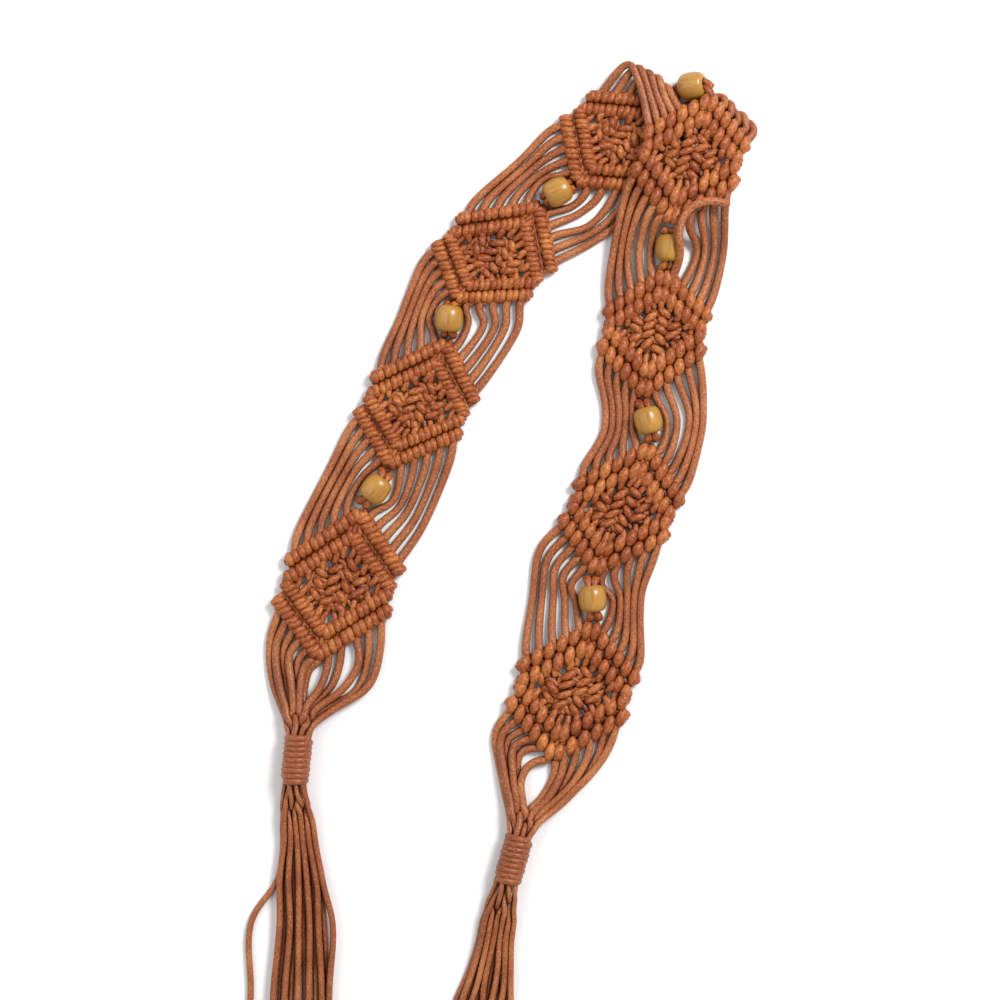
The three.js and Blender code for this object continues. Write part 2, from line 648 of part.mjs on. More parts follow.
for (const diamond of diamonds) {
  addPiece(`diamond_${diamond.letter}`, diamondBody(diamond), rowMaterial);
}
for (const row of SIDE_CORDS) {
  const [early, late] = [diamonds[row.gap].letter, diamonds[row.gap + 1].letter];
  addPiece(`side_cords_${early}${late}_${row.side < 0 ? 'left' : 'right'}`, sideCords(row), cordMaterial);
}
addPiece('fold_cords_left', foldCords(-1), cordMaterial);
addPiece('fold_cords_right', foldCords(1), cordMaterial);
gaps.forEach(addBead);
ENDS.forEach((end, index) => {
  addPiece(`gather_${end.number}`, gatherGeometry(end), cordMaterial);
  addWrap(end);
  addPiece(`tassel_${end.number}`, tasselGeometry(TASSELS[index], end), cordMaterial);
});

// The origin is below the middle of the whole belt.
belt.updateMatrixWorld(true);
const bounds = new THREE.Box3().setFromObject(belt, true);
const part = new THREE.Group();
belt.position.set(
  -(bounds.min.x + bounds.max.x) / 2,
  -(bounds.min.y + bounds.max.y) / 2,
  -bounds.min.z,
);
part.add(belt);

export default part;
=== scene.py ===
# A knotted cord belt with wooden beads, laid out flat and folded over at its top.
# Every cord is swept along its own route: hitched rows, square knots, side cords, windings
# and tassels. Metres, +Z up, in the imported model's frame.
import math
import random
from types import SimpleNamespace

import bpy
import numpy as np
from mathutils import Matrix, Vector


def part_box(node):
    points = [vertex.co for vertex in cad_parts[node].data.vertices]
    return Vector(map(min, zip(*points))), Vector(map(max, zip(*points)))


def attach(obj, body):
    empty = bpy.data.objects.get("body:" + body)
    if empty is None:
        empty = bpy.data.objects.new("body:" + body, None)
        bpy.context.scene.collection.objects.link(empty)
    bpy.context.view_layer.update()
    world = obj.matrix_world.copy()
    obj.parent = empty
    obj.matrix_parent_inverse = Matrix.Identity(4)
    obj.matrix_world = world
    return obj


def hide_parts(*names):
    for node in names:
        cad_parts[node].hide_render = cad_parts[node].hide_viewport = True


MM = 0.001

# Driving sizes, as in the solids
CORD = 3 * MM
DIAMOND_LENGTH = 64 * MM
DIAMOND_WIDTH = 50 * MM
BEAD_DIAMETER = 12.2 * MM
BEAD_LENGTH = 11.5 * MM
WRAP_DIAMETER = 12 * MM
WRAP_LENGTH = 23 * MM
TASSEL_LENGTH = 120 * MM
CLEARANCE = 0.3 * MM

# Sizes that follow from them, and places in a diamond's own plane: u across it, v along it
RADIUS = CORD / 2
ROW_WIDTH = 1.93 * CORD
ROW_HEIGHT = 2.15 * CORD
KNOT_WIDTH = 3.8 * CORD
KNOT_LENGTH = 2.6 * CORD
HALF_LENGTH = DIAMOND_LENGTH / 2
HALF_WIDTH = DIAMOND_WIDTH / 2
CORDS_PER_SIDE = 5
FOLD_LIFT = ROW_HEIGHT + 2 * CLEARANCE
CORD_LIFT = CORD + 2 * CLEARANCE
OUTER_TOP = HALF_LENGTH - 0.67 * ROW_WIDTH
INNER_TOP = OUTER_TOP - 1.48 * ROW_WIDTH
INNER_SIDE = HALF_WIDTH - 0.57 * ROW_WIDTH
OUTER_END = np.array([HALF_WIDTH - 0.3 * ROW_WIDTH, 1.22 * ROW_WIDTH])
ROW_LEVEL = ROW_HEIGHT / 2
HITCHES = 6

# The photograph: its own scale and the pixel of the first bead, which ties it to the frame
PHOTO_SIZE = 1000
PIXELS_PER_METRE = 2300
BEAD_1_PIXEL = (376, 489)

# The diamonds in order along the belt, as in the solids. up is the direction of the long
# axis in degrees, long and wide are shares of the diamond's size, skew turns the cross axis
# in degrees and sag moves the side corners along the long axis, as a share of the length.
# The first four show their front and run up the sheet, the others show their back.
DIAMONDS = [
    dict(letter="a", up=73.6, long=1.15, wide=1.03, skew=11, sag=-0.01, front=True),
    dict(letter="b", up=65.3, long=1.03, wide=0.95, skew=12, sag=-0.02, front=True),
    dict(letter="c", up=48.1, long=0.95, wide=0.97, skew=13, sag=-0.06, front=True),
    dict(letter="d", up=40.9, long=0.93, wide=1.04, skew=11, sag=0, front=True),
    dict(letter="e", up=72.2, long=0.96, wide=0.95, skew=11, sag=0.03, front=False),
    dict(letter="f", up=80.1, long=0.92, wide=0.95, skew=7, sag=0.04, front=False),
    dict(letter="g", up=66.6, long=1.02, wide=0.98, skew=14, sag=-0.01, front=False),
    dict(letter="h", up=73.1, long=1.04, wide=1.08, skew=10, sag=0.01, front=False),
]

# The beaded gaps between them: the heading from tip to tip and the direction across the gap
# in degrees, the gap as a share of the bead's length, and how far the bead lies to the left
# of the line, as a share of its diameter
GAPS = [
    dict(heading=52.9, long=1.45, across=-37, aside=-0.08),
    dict(heading=84.8, long=1.16, across=-5, aside=0.05),
    dict(heading=27.8, long=1.07, across=-46, aside=0.03),
    dict(heading=3.3, long=1.38, across=0, aside=0.3),
    dict(heading=-92.5, long=1.46, across=-2, aside=0.1),
    dict(heading=-76.3, long=1.5, across=0, aside=0.04),
    dict(heading=-85.9, long=1.54, across=0, aside=-0.04),
]

# The gap at which the belt is folded over
FOLD = 3

# Where the five side cords pass a bead, outermost first, as in the solids, in shares of
# DIAMOND_WIDTH. full is how far they swing out and over how high they lie over others.
SIDE_CORDS = [
    dict(gap=0, side=-1, full=0.03, first=0.29, second=0.22, third=0.15, fourth=0.08, fifth=0),
    dict(gap=0, side=1, full=0.03, first=0.36, second=0.27, third=0.18, fourth=0.1, fifth=0.02),
    dict(gap=1, side=-1, full=0.02, first=0.26, second=0.2, third=0.14, fourth=0.08, fifth=0.02),
    dict(gap=1, side=1, full=0.02, first=0.45, second=0.34, third=0.25, fourth=0.15, fifth=0.01),
    dict(gap=2, side=-1, full=0.03, first=0.27, second=0.2, third=0.14, fourth=0.07, fifth=0.01),
    dict(gap=2, side=1, full=0.05, first=0.38, second=0.31, third=0.24, fourth=0.1, fifth=0.01),
    dict(gap=4, side=-1, full=0, over=1, first=0.32, second=0.26, third=0.2, fourth=0.1, fifth=0),
    dict(gap=4, side=1, full=0, first=0.32, second=0.24, third=0.16, fourth=0.09, fifth=0.03),
    dict(gap=5, side=-1, full=0.1, first=0.15, second=0.12, third=0.09, fourth=0.05, fifth=0),
    dict(gap=5, side=1, full=0, first=0.32, second=0.27, third=0.21, fourth=0.1, fifth=0.01),
    dict(gap=6, side=-1, full=0.2, first=0.36, second=0.28, third=0.18, fourth=0.08, fifth=-0.01),
    dict(gap=6, side=1, full=0.04, first=0.26, second=0.21, third=0.15, fourth=0.09, fifth=0.02),
]
ORDERS = ("first", "second", "third", "fourth", "fifth")

# Where the side cords turn over at the fold, outermost first, from its bead, in shares of
# DIAMOND_WIDTH
FOLD_LEFT = [
    dict(crest_x=-0.54, crest_y=0.2),
    dict(crest_x=-0.47, crest_y=0.17),
    dict(crest_x=-0.4, crest_y=0.13),
    dict(crest_x=-0.33, crest_y=0.08),
    dict(crest_x=-0.3, crest_y=0.03),
]
FOLD_RIGHT = [
    dict(out_x=0.37, out_y=-0.25, turn_x=0.55, turn_y=-0.38),
    dict(out_x=0.32, out_y=-0.21, turn_x=0.49, turn_y=-0.34),
    dict(out_x=0.27, out_y=-0.17, turn_x=0.43, turn_y=-0.28),
    dict(out_x=0.21, out_y=-0.13, turn_x=0.37, turn_y=-0.21),
    dict(out_x=0.15, out_y=-0.09, turn_x=0.31, turn_y=-0.14),
]

# The two ends: the heading from the last diamond to the winding in degrees, how far off the
# winding's mouth lies, as a share of DIAMOND_WIDTH, and the winding's own direction
ENDS = [
    dict(number=1, diamond=0, heading=-103, away=0.68, turn=-96),
    dict(number=2, diamond=7, heading=-113, away=0.72, turn=-106),
]

# The gathered cords' routes from the last row to the winding, as pixels of the photograph:
# the five left cords, the two middle ones and the five right cords, from left to right
GATHERED = {
    1: [
        dict(x1=270, y1=640, x2=272, y2=680, x3=284, y3=712),
        dict(x1=276, y1=645, x2=279, y2=682, x3=288, y3=712),
        dict(x1=283, y1=650, x2=286, y2=684, x3=291, y3=712),
        dict(x1=289, y1=655, x2=292, y2=686, x3=294, y3=712),
        dict(x1=298, y1=660, x2=297, y2=688, x3=297, y3=712),
        dict(x1=304, y1=668, x2=300, y2=690, x3=300, y3=712),
        dict(x1=310, y1=667, x2=304, y2=688, x3=303, y3=712),
        dict(x1=327, y1=668, x2=320, y2=688, x3=306, y3=708),
        dict(x1=339, y1=666, x2=331, y2=687, x3=309, y3=710),
        dict(x1=359, y1=662, x2=344, y2=688, x3=312, y3=713),
        dict(x1=368, y1=657, x2=357, y2=690, x3=315, y3=715),
        dict(x1=380, y1=650, x2=369, y2=686, x3=334, y3=709),
    ],
    2: [
        dict(x1=496, y1=732, x2=500, y2=768, x3=508, y3=804),
        dict(x1=501, y1=736, x2=504, y2=771, x3=511, y3=804),
        dict(x1=507, y1=741, x2=509, y2=773, x3=514, y3=805),
        dict(x1=514, y1=746, x2=513, y2=775, x3=517, y3=806),
        dict(x1=521, y1=752, x2=517, y2=777, x3=520, y3=808),
        dict(x1=531, y1=764, x2=521, y2=780, x3=523, y3=810),
        dict(x1=554, y1=776, x2=543, y2=797, x3=526, y3=815),
        dict(x1=562, y1=771, x2=549, y2=797, x3=528, y3=818),
        dict(x1=573, y1=766, x2=556, y2=797, x3=530, y3=820),
        dict(x1=586, y1=761, x2=564, y2=795, x3=532, y3=822),
        dict(x1=598, y1=757, x2=574, y2=789, x3=534, y3=823),
        dict(x1=609, y1=748, x2=588, y2=777, x3=550, y3=810),
    ],
}

# The tassels: where their outermost strands lie halfway and at the end, across the tassel
# in winding diameters, its direction in degrees, and how far off the first strand strays
TASSELS = [
    dict(number=1, left=-0.7, right=1.4, left_end=-0.85, right_end=1.55, turn=-91, strayed=0.75),
    dict(number=2, left=-1.3, right=0.75, left_end=-1.6, right_end=0.75, turn=-97, strayed=0),
]
STRANDS = 12

# Small irregularities all come from here, always in the same order
chance = random.Random(12)
UP = np.array([0.0, 0.0, 1.0])


def heading(degrees):
    angle = math.radians(degrees)
    return np.array([math.cos(angle), math.sin(angle)])


def mix(low, high, share):
    return low + (high - low) * share


def smooth(value, low, high):
    share = min(max((value - low) / (high - low), 0), 1)
    return share * share * (3 - 2 * share)


def point(place, height):
    return np.array([place[0], place[1], height])


def lay_belt(start):
    """Lays the diamonds and gaps end to end, as the solids do, and returns both lists."""
    found, between = [], []
    tip = start
    for index, row in enumerate(DIAMONDS):
        way = row["up"] if row["front"] else row["up"] + 180
        far = tip + heading(way) * row["long"] * DIAMOND_LENGTH
        found.append(SimpleNamespace(
            **row,
            index=index,
            centre=(tip + far) / 2,
            along=heading(row["up"]) * row["long"],
            cross=heading(row["up"] - 90 + row["skew"]) * row["wide"],
            bend=row["sag"] * DIAMOND_LENGTH,
            raised=index == FOLD + 1,
        ))
        tip = far
        if index < len(GAPS):
            gap = GAPS[index]
            following = tip + heading(gap["heading"]) * gap["long"] * BEAD_LENGTH
            aside = heading(gap["heading"] + 90) * gap["aside"] * BEAD_DIAMETER
            between.append(SimpleNamespace(
                start=tip, end=following, middle=(tip + following) / 2 + aside,
                crosswise=heading(gap["across"]),
            ))
            tip = following
    return found, between


def lift_at(diamond, u, v):
    if not diamond.raised:
        return 0
    over = 1 - smooth(u, -0.1 * HALF_WIDTH, 0.85 * HALF_WIDTH)
    over *= smooth(v, -HALF_LENGTH, -0.64 * HALF_LENGTH)
    return mix(CORD_LIFT, FOLD_LIFT, over)


def on_diamond(diamond, u, v, z):
    bent = v + diamond.bend * (1 - abs(v) / HALF_LENGTH)
    place = diamond.centre + diamond.cross * u + diamond.along * bent
    return point(place, z + lift_at(diamond, u, v))


def curve_through(points, count):
    """Evenly spaced points on a centripetal Catmull-Rom curve through a few."""
    points = [np.asarray(p, float) for p in points]
    points = [2 * points[0] - points[1], *points, 2 * points[-1] - points[-2]]
    dense = []
    for p0, p1, p2, p3 in zip(points, points[1:], points[2:], points[3:]):
        knots = [0.0]
        for a, b in ((p0, p1), (p1, p2), (p2, p3)):
            knots.append(knots[-1] + max(np.linalg.norm(b - a), 1e-9) ** 0.5)
        t = np.linspace(knots[1], knots[2], 24, endpoint=False)[:, None]
        a1 = mix(p0, p1, (t - knots[0]) / (knots[1] - knots[0]))
        a2 = mix(p1, p2, (t - knots[1]) / (knots[2] - knots[1]))
        a3 = mix(p2, p3, (t - knots[2]) / (knots[3] - knots[2]))
        b1 = mix(a1, a2, (t - knots[0]) / (knots[2] - knots[0]))
        b2 = mix(a2, a3, (t - knots[1]) / (knots[3] - knots[1]))
        dense.append(mix(b1, b2, (t - knots[1]) / (knots[2] - knots[1])))
    dense.append(points[-2][None, :])
    return respaced(np.concatenate(dense), count)


def at_pixel(x, y, z):
    """The place that the photograph shows at a pixel, at a height above the surface."""
    return point(view_centre + np.array([x - PHOTO_SIZE / 2, PHOTO_SIZE / 2 - y]) / PIXELS_PER_METRE, z)


def respaced(path, count):
    steps = np.linalg.norm(np.diff(path, axis=0), axis=1)
    along = np.concatenate([[0], np.cumsum(steps)])
    wanted = np.linspace(0, along[-1], count)
    return np.stack([np.interp(wanted, along, path[:, axis]) for axis in range(3)], axis=1)


# How far a cord's end bulges, as a share of its radius
END_BULGE = 0.35


class Weave:
    """Collects swept cords into one mesh, with UVs round each cord and along it in metres."""

    def __init__(self):
        self.points = []
        self.faces = []
        self.uvs = []
        self.shades = []
        self.count = 0
        self.row_faces = 0

    def sweep(self, path, radius=RADIUS, sides=10):
        """Adds a closed round cord along the path. radius is a number or one for each point."""
        path = np.asarray(path, float)
        count = len(path)
        radii = np.broadcast_to(np.asarray(radius, float), (count,))
        tangents = np.gradient(path, axis=0)
        tangents /= np.linalg.norm(tangents, axis=1)[:, None] + 1e-12
        side = np.cross(UP, tangents[0])
        if np.linalg.norm(side) < 1e-3:
            side = np.array([1.0, 0, 0])
        sideways = np.empty_like(path)
        for index, tangent in enumerate(tangents):
            side = side - tangent * side.dot(tangent)
            side /= np.linalg.norm(side) + 1e-12
            sideways[index] = side
        upright = np.cross(tangents, sideways)
        angles = np.arange(sides) * 2 * math.pi / sides
        ring = (
            sideways[:, None, :] * np.cos(angles)[None, :, None]
            + upright[:, None, :] * np.sin(angles)[None, :, None]
        )
        shell = path[:, None, :] + ring * radii[:, None, None]
        caps = np.stack([
            path[0] - tangents[0] * radii[0] * END_BULGE,
            path[-1] + tangents[-1] * radii[-1] * END_BULGE,
        ])
        steps = np.linalg.norm(np.diff(path, axis=0), axis=1)
        lengths = np.concatenate([[0], np.cumsum(steps)]) + chance.random()

        first = self.count
        rows = np.arange(count - 1)[:, None] * sides
        columns = np.arange(sides)[None, :]
        nexts = (columns + 1) % sides
        near, near_next = rows + columns, rows + nexts
        quads = np.stack([near, near_next, near_next + sides, near + sides], axis=-1).reshape(-1, 4)
        self.faces.append(quads + first)
        u = np.broadcast_to(columns / sides, near.shape)
        v = np.broadcast_to(lengths[:-1, None], near.shape)
        v_next = np.broadcast_to(lengths[1:, None], near.shape)
        uv = np.stack([
            np.stack([u, v], -1), np.stack([u + 1 / sides, v], -1),
            np.stack([u + 1 / sides, v_next], -1), np.stack([u, v_next], -1),
        ], axis=2).reshape(-1, 2)
        self.uvs.append(uv)
        end = first + count * sides
        last = first + (count - 1) * sides
        fans = []
        for place in range(sides):
            following = (place + 1) % sides
            fans.append((end, first + following, first + place))
            fans.append((end + 1, last + place, last + following))
        self.faces.append(np.array(fans))
        self.uvs.append(np.tile([[0.5, lengths[0]]], (len(fans) * 3, 1)))
        self.points.append(shell.reshape(-1, 3))
        self.points.append(caps)
        made = count * sides + 2
        self.shades.append(np.full(made, chance.random()))
        self.count += made

    def rows_end(self):
        """Marks that what came so far is hitched rows, which take the second material."""
        self.row_faces = sum(len(group) for group in self.faces)

    def piece(self, name, material, nodes, slot, row_material=None):
        """Puts the swept cords in the place of the nodes, as one mesh."""
        mesh = bpy.data.meshes.new(name)
        faces = [face for group in self.faces for face in group.tolist()]
        mesh.from_pydata(np.concatenate(self.points).tolist(), [], faces)
        layer = mesh.uv_layers.new(name="round_and_along")
        layer.data.foreach_set("uv", np.concatenate(self.uvs).astype(np.float32).ravel())
        shade = mesh.attributes.new("shade", "FLOAT", "POINT")
        shade.data.foreach_set("value", np.concatenate(self.shades).astype(np.float32))
        mesh.polygons.foreach_set("use_smooth", [True] * len(mesh.polygons))
        place_piece(name, mesh, material, nodes)
        if row_material:
            mesh.materials.append(row_material)
            rest = len(mesh.polygons) - self.row_faces
            mesh.polygons.foreach_set("material_index", [1] * self.row_faces + [0] * rest)


def place_piece(name, mesh, material, nodes):
    """Makes the mesh a piece of the fixed body, in place of the nodes."""
    mesh.materials.append(material)
    piece = bpy.data.objects.new(name, mesh)
    bpy.context.scene.collection.objects.link(piece)
    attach(piece, "root")
    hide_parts(*nodes)
    return piece


SETTLE_ROUNDS = 30
SETTLE_EASE = 0.2


def settle(paths, radius):
    """Pushes cords apart where they run into each other and keeps them above the surface.
    Their ends stay where they are."""
    paths = np.array(paths)
    for _ in range(SETTLE_ROUNDS):
        for a in range(len(paths)):
            for b in range(a + 1, len(paths)):
                between = paths[a][:, None] - paths[b][None]
                distance = np.linalg.norm(between, axis=2)
                nearest = distance.argmin(axis=1)
                every = np.arange(len(nearest))
                close = distance[every, nearest]
                push = np.clip(2 * radius - close, 0, radius) / 2
                touching = push > 0
                touching[:2] = touching[-2:] = False
                way = between[every, nearest] / (close[:, None] + 1e-9)
                step = way * push[:, None]
                paths[a][touching] += step[touching]
                np.subtract.at(paths[b], nearest[touching], step[touching])
        inner = paths[:, 1:-1]
        inner += SETTLE_EASE * (0.5 * (paths[:, :-2] + paths[:, 2:]) - inner)
        inner[..., 2] = np.maximum(inner[..., 2], radius)
    return paths


# Hitched rows. On the face side of the belt each hitch shows two turns across the row, which
# together look like a tight coil, and on its back one fat bar along the belt.
TURNS = 2 * HITCHES
TURN_OVERLAP = 1.24
TURN_POINTS = 15
ROW_SPREAD = 1.1 * ROW_WIDTH
PAIRING = 0.05
CORE_RADIUS = 0.5 * CORD
BAR_RADIUS = 0.84 * CORD
BAR_TIP_RADIUS = 0.25 * CORD
BAR_LENGTH = ROW_WIDTH + 0.8 * CORD
BAR_DEPTH = 0.5 * ROW_HEIGHT - 0.95 * BAR_RADIUS
BAR_POINTS = 11

# How far a turn reaches past half a circle at either end, in degrees
TURN_END = 62
HIDDEN_TURN_END = -35

# How far a row runs past the tip of the diamond, and its reach to the side
ROW_PAST_TIP = 0.1 * CORD
ROW_REACH = 1.04


def hitched_row(weave, diamond, start, end):
    """A core cord from start to end in the diamond's plane, with hitches round it."""
    face = 1 if diamond.front else -1

    def station(share):
        place = mix(np.asarray(start), np.asarray(end), share)
        return on_diamond(diamond, place[0], place[1], ROW_LEVEL)

    run = station(1) - station(0)
    length = np.linalg.norm(run)
    run /= length
    across = np.cross(UP, run)
    lengthwise = point(diamond.along / np.linalg.norm(diamond.along), 0)
    weave.sweep([station(share) for share in np.linspace(-0.02, 1.02, 9)], CORE_RADIUS, 8)

    turn_radius = 0.5 * TURN_OVERLAP * length / TURNS
    wide = 0.25 * ROW_SPREAD * (diamond.long + diamond.wide) - turn_radius
    high = 0.5 * ROW_HEIGHT - turn_radius
    past = TURN_END if diamond.front else HIDDEN_TURN_END
    angles = np.radians(np.linspace(-past, 180 + past, TURN_POINTS))
    lean = chance.uniform(0.12, 0.2) * CORD
    for index in range(TURNS):
        place = index + 0.5 + (PAIRING if index % 2 == 0 else -PAIRING)
        middle = station(place / TURNS) + run * chance.uniform(-0.04, 0.04) * CORD
        swell = chance.uniform(0.97, 1.05)
        path = [
            middle
            + across * math.cos(angle) * wide * swell
            + UP * math.sin(angle) * high * face
            + run * math.cos(angle) * lean
            for angle in angles
        ]
        weave.sweep(path, turn_radius * swell, 10)

    shares = np.linspace(-1, 1, BAR_POINTS)
    arch = np.cos(shares * math.pi / 2)
    for index in range(HITCHES):
        middle = station((index + 0.5) / HITCHES)
        way = lengthwise + across * chance.uniform(-0.1, 0.1) + run * chance.uniform(-0.08, 0.08)
        reach = 0.5 * BAR_LENGTH * chance.uniform(0.93, 1.05)
        sunk = UP * face * (arch ** 0.7 * BAR_DEPTH)[:, None]
        path = middle + way * (shares * reach)[:, None] - sunk
        thick = BAR_RADIUS * chance.uniform(0.92, 1.04)
        weave.sweep(path, mix(BAR_TIP_RADIUS, thick, arch ** 0.65), 12)


GROOVE_RADIUS = 0.5 * CORD
GROOVE_LEVEL = 0.36 * ROW_HEIGHT
GROOVE_TOP = 0.5 * (OUTER_TOP + INNER_TOP)
GROOVE_SIDE = 0.45 * ROW_WIDTH
GROOVE_REACH = 0.97 * HALF_WIDTH


def outer_row(weave, diamond, top, side):
    """An outer row and the cords' run under the groove between it and the inner one."""
    groove = []
    for share in np.linspace(0, 0.9, 9):
        u = GROOVE_REACH * share * side
        v = mix(GROOVE_TOP, GROOVE_SIDE, share) * top
        groove.append(on_diamond(diamond, u, v, GROOVE_LEVEL))
    weave.sweep(groove, GROOVE_RADIUS, 8)
    start = (-ROW_PAST_TIP * side, OUTER_TOP * top)
    hitched_row(weave, diamond, start, OUTER_END * (ROW_REACH * side, top))


# Square knots: two loops over a pair of core cords, and a hook of cord beside them. The
# hook's places are shares of the knot's half width, of its length and of its half height.
KNOT_RADIUS = 0.48 * CORD
KNOT_LEVEL = 0.3 * ROW_HEIGHT
KNOT_BESIDE = 0.68 * KNOT_WIDTH
KNOT_ABOVE = 0.8 * KNOT_LENGTH
KNOT_PLACES = [(0, KNOT_ABOVE), (KNOT_BESIDE, 0), (-KNOT_BESIDE, 0), (0, -KNOT_ABOVE)]
HOOK = [
    dict(x=0.8, y=0.62, z=0),
    dict(x=1.02, y=0.36, z=0.75),
    dict(x=1.04, y=0, z=0.95),
    dict(x=1.02, y=-0.36, z=0.75),
    dict(x=0.8, y=-0.62, z=0),
]

# The cords that link the knots with the inner rows, from a place along the row to u and v,
# and the cords that cross below the knots. Places are shares of INNER_SIDE and INNER_TOP,
# and rise is a share of ROW_HEIGHT.
LINKS = [
    dict(row=0.08, u=0.07, v=0.55, rise=0.02),
    dict(row=0.26, u=0.2, v=0.44, rise=0.1),
    dict(row=0.46, u=0.4, v=0.26, rise=0.05),
    dict(row=0.66, u=0.6, v=0.06, rise=0.1),
]
UNDERLAY = [
    dict(u=-0.62, v=0.36, to_u=0.36, to_v=-0.62),
    dict(u=-0.5, v=0.46, to_u=0.48, to_v=-0.5),
    dict(u=-0.36, v=0.6, to_u=0.62, to_v=-0.34),
]
UNDERLAY_RADIUS = 0.45 * CORD
UNDERLAY_LEVEL = 0.3 * ROW_HEIGHT
LINK_POINTS = 12
LINK_RADIUS = CORD * mix(0.4, 0.52, np.sin(np.linspace(0, 1, LINK_POINTS) * math.pi))

# The cords between the two rows at either tip, and the ones that pass beside the knots
TIP_FILLERS = 3
TIP_RADIUS = 0.48 * CORD
TIP_LEVEL = 0.45 * ROW_HEIGHT
TIP_SPACING = 0.9 * CORD
BYPASS_ROW = 0.8
BYPASS_RADIUS = 0.46 * CORD


def square_knot(weave, diamond, u, v):
    face = 1 if diamond.front else -1
    wide = KNOT_WIDTH / 2 - KNOT_RADIUS
    high = KNOT_LEVEL - KNOT_RADIUS
    pitch = 0.5 * KNOT_LENGTH
    angles = np.radians(np.linspace(0, 360, 21))
    for half in (-0.5, 0.5):
        slant = chance.uniform(0.5, 0.85)
        path = []
        for angle in angles:
            x = math.cos(angle) * wide
            y = half * pitch - slant * x * math.sin(angle) * face
            z = KNOT_LEVEL + math.sin(angle) * high * face
            path.append(on_diamond(diamond, u + x, v + y, z))
        swell = KNOT_RADIUS * chance.uniform(0.95, 1.08)
        weave.sweep(path, swell * mix(0.78, 1.08, np.abs(np.sin(angles)) ** 0.7), 10)
    side = 1 if u >= 0 else -1
    path = []
    for row in HOOK:
        x = row["x"] * wide * side
        z = KNOT_LEVEL + row["z"] * high * face
        path.append(on_diamond(diamond, u + x, v + row["y"] * KNOT_LENGTH, z))
    weave.sweep(curve_through(path, 13), 0.92 * KNOT_RADIUS, 8)
    for aside in (-0.5, 0.5):
        path = [
            on_diamond(diamond, u + aside * 2 * KNOT_RADIUS, v + y * KNOT_LENGTH, KNOT_LEVEL)
            for y in np.linspace(-0.6, 0.6, 7)
        ]
        weave.sweep(path, KNOT_RADIUS, 8)


# The small loops of the square knots, which show as a lattice of slanted leaves. LEAF_REACH
# is the lattice's share of the inner diamond.
LEAF_COLUMNS = 1.9 * CORD
LEAF_ROWS = 1.42 * CORD
LEAF_REACH = 0.63
LEAF_RADIUS = 0.56 * CORD
LEAF_TIP_RADIUS = 0.64 * LEAF_RADIUS
LEAF_POINTS = 9
LEAF_DIP = 0.7 * CORD
LEAF_SLANTS = (26, 50)
CROSSED_LEAVES = 0.08
FRONT_LEAF = dict(half=0.98, sunk=0.25)
BACK_LEAF = dict(half=1.05, sunk=0.12)


def knot_leaves(weave, diamond):
    leaf = FRONT_LEAF if diamond.front else BACK_LEAF
    least, most = LEAF_SLANTS
    shares = np.linspace(-1, 1, LEAF_POINTS)
    arch = np.cos(shares * math.pi / 2)
    rows = int(INNER_TOP / LEAF_ROWS) + 1
    for row in range(-rows, rows + 1):
        for column in range(-rows, rows + 1):
            u = (column + 0.5) * LEAF_COLUMNS + chance.uniform(-0.15, 0.15) * CORD
            v = (row + 0.5 * (column % 2)) * LEAF_ROWS + chance.uniform(-0.1, 0.1) * CORD
            if abs(u) / INNER_SIDE + abs(v) / INNER_TOP > LEAF_REACH:
                continue
            slant = chance.uniform(least, most) if column % 2 else chance.uniform(-most, -least)
            slant = math.radians(slant)
            if chance.random() < CROSSED_LEAVES:
                slant = -slant
            half = leaf["half"] * CORD * chance.uniform(0.92, 1.1)
            sunk = leaf["sunk"] * CORD + chance.uniform(0, 0.18) * CORD
            path = []
            for share, rise in zip(shares, arch ** 0.6):
                across = math.cos(slant) * half * share
                along = math.sin(slant) * half * share
                level = ROW_HEIGHT - LEAF_RADIUS - sunk - (1 - rise) * LEAF_DIP
                path.append(on_diamond(diamond, u + across, v + along, level))
            thick = LEAF_RADIUS * chance.uniform(0.94, 1.08)
            weave.sweep(path, mix(LEAF_TIP_RADIUS, thick, arch ** 0.5), 10)


def link_cords(weave, diamond, top, side):
    for link in LINKS:
        start = np.array([link["row"] * INNER_SIDE * side, (1 - link["row"]) * INNER_TOP * top])
        end = np.array([link["u"] * INNER_SIDE * side, link["v"] * INNER_TOP * top])
        strayed = np.array([chance.uniform(-0.5, 0.5), chance.uniform(-0.4, 0.4)]) * CORD
        middle = mix(start, end, 0.5) * (1.04, 1) + strayed
        rise = link["rise"] * ROW_HEIGHT + chance.uniform(-0.05, 0.1) * ROW_HEIGHT
        path = curve_through([
            on_diamond(diamond, *start, ROW_LEVEL),
            on_diamond(diamond, *middle, ROW_LEVEL + rise),
            on_diamond(diamond, *end, ROW_LEVEL),
        ], LINK_POINTS)
        weave.sweep(path, LINK_RADIUS, 10)


def underlay(weave, diamond, side):
    """Cords that cross below the knots, those from the upper right on top."""
    crossing_level = (0.2 if side > 0 else 0.4) * ROW_HEIGHT
    for row in UNDERLAY:
        places = [
            (row["u"], row["v"], UNDERLAY_LEVEL),
            (0.5 * (row["u"] + row["to_u"]), 0.5 * (row["v"] + row["to_v"]), crossing_level),
            (row["to_u"], row["to_v"], UNDERLAY_LEVEL),
        ]
        path = [on_diamond(diamond, u * INNER_SIDE * side, v * INNER_TOP, z) for u, v, z in places]
        weave.sweep(curve_through(path, 12), UNDERLAY_RADIUS, 8)


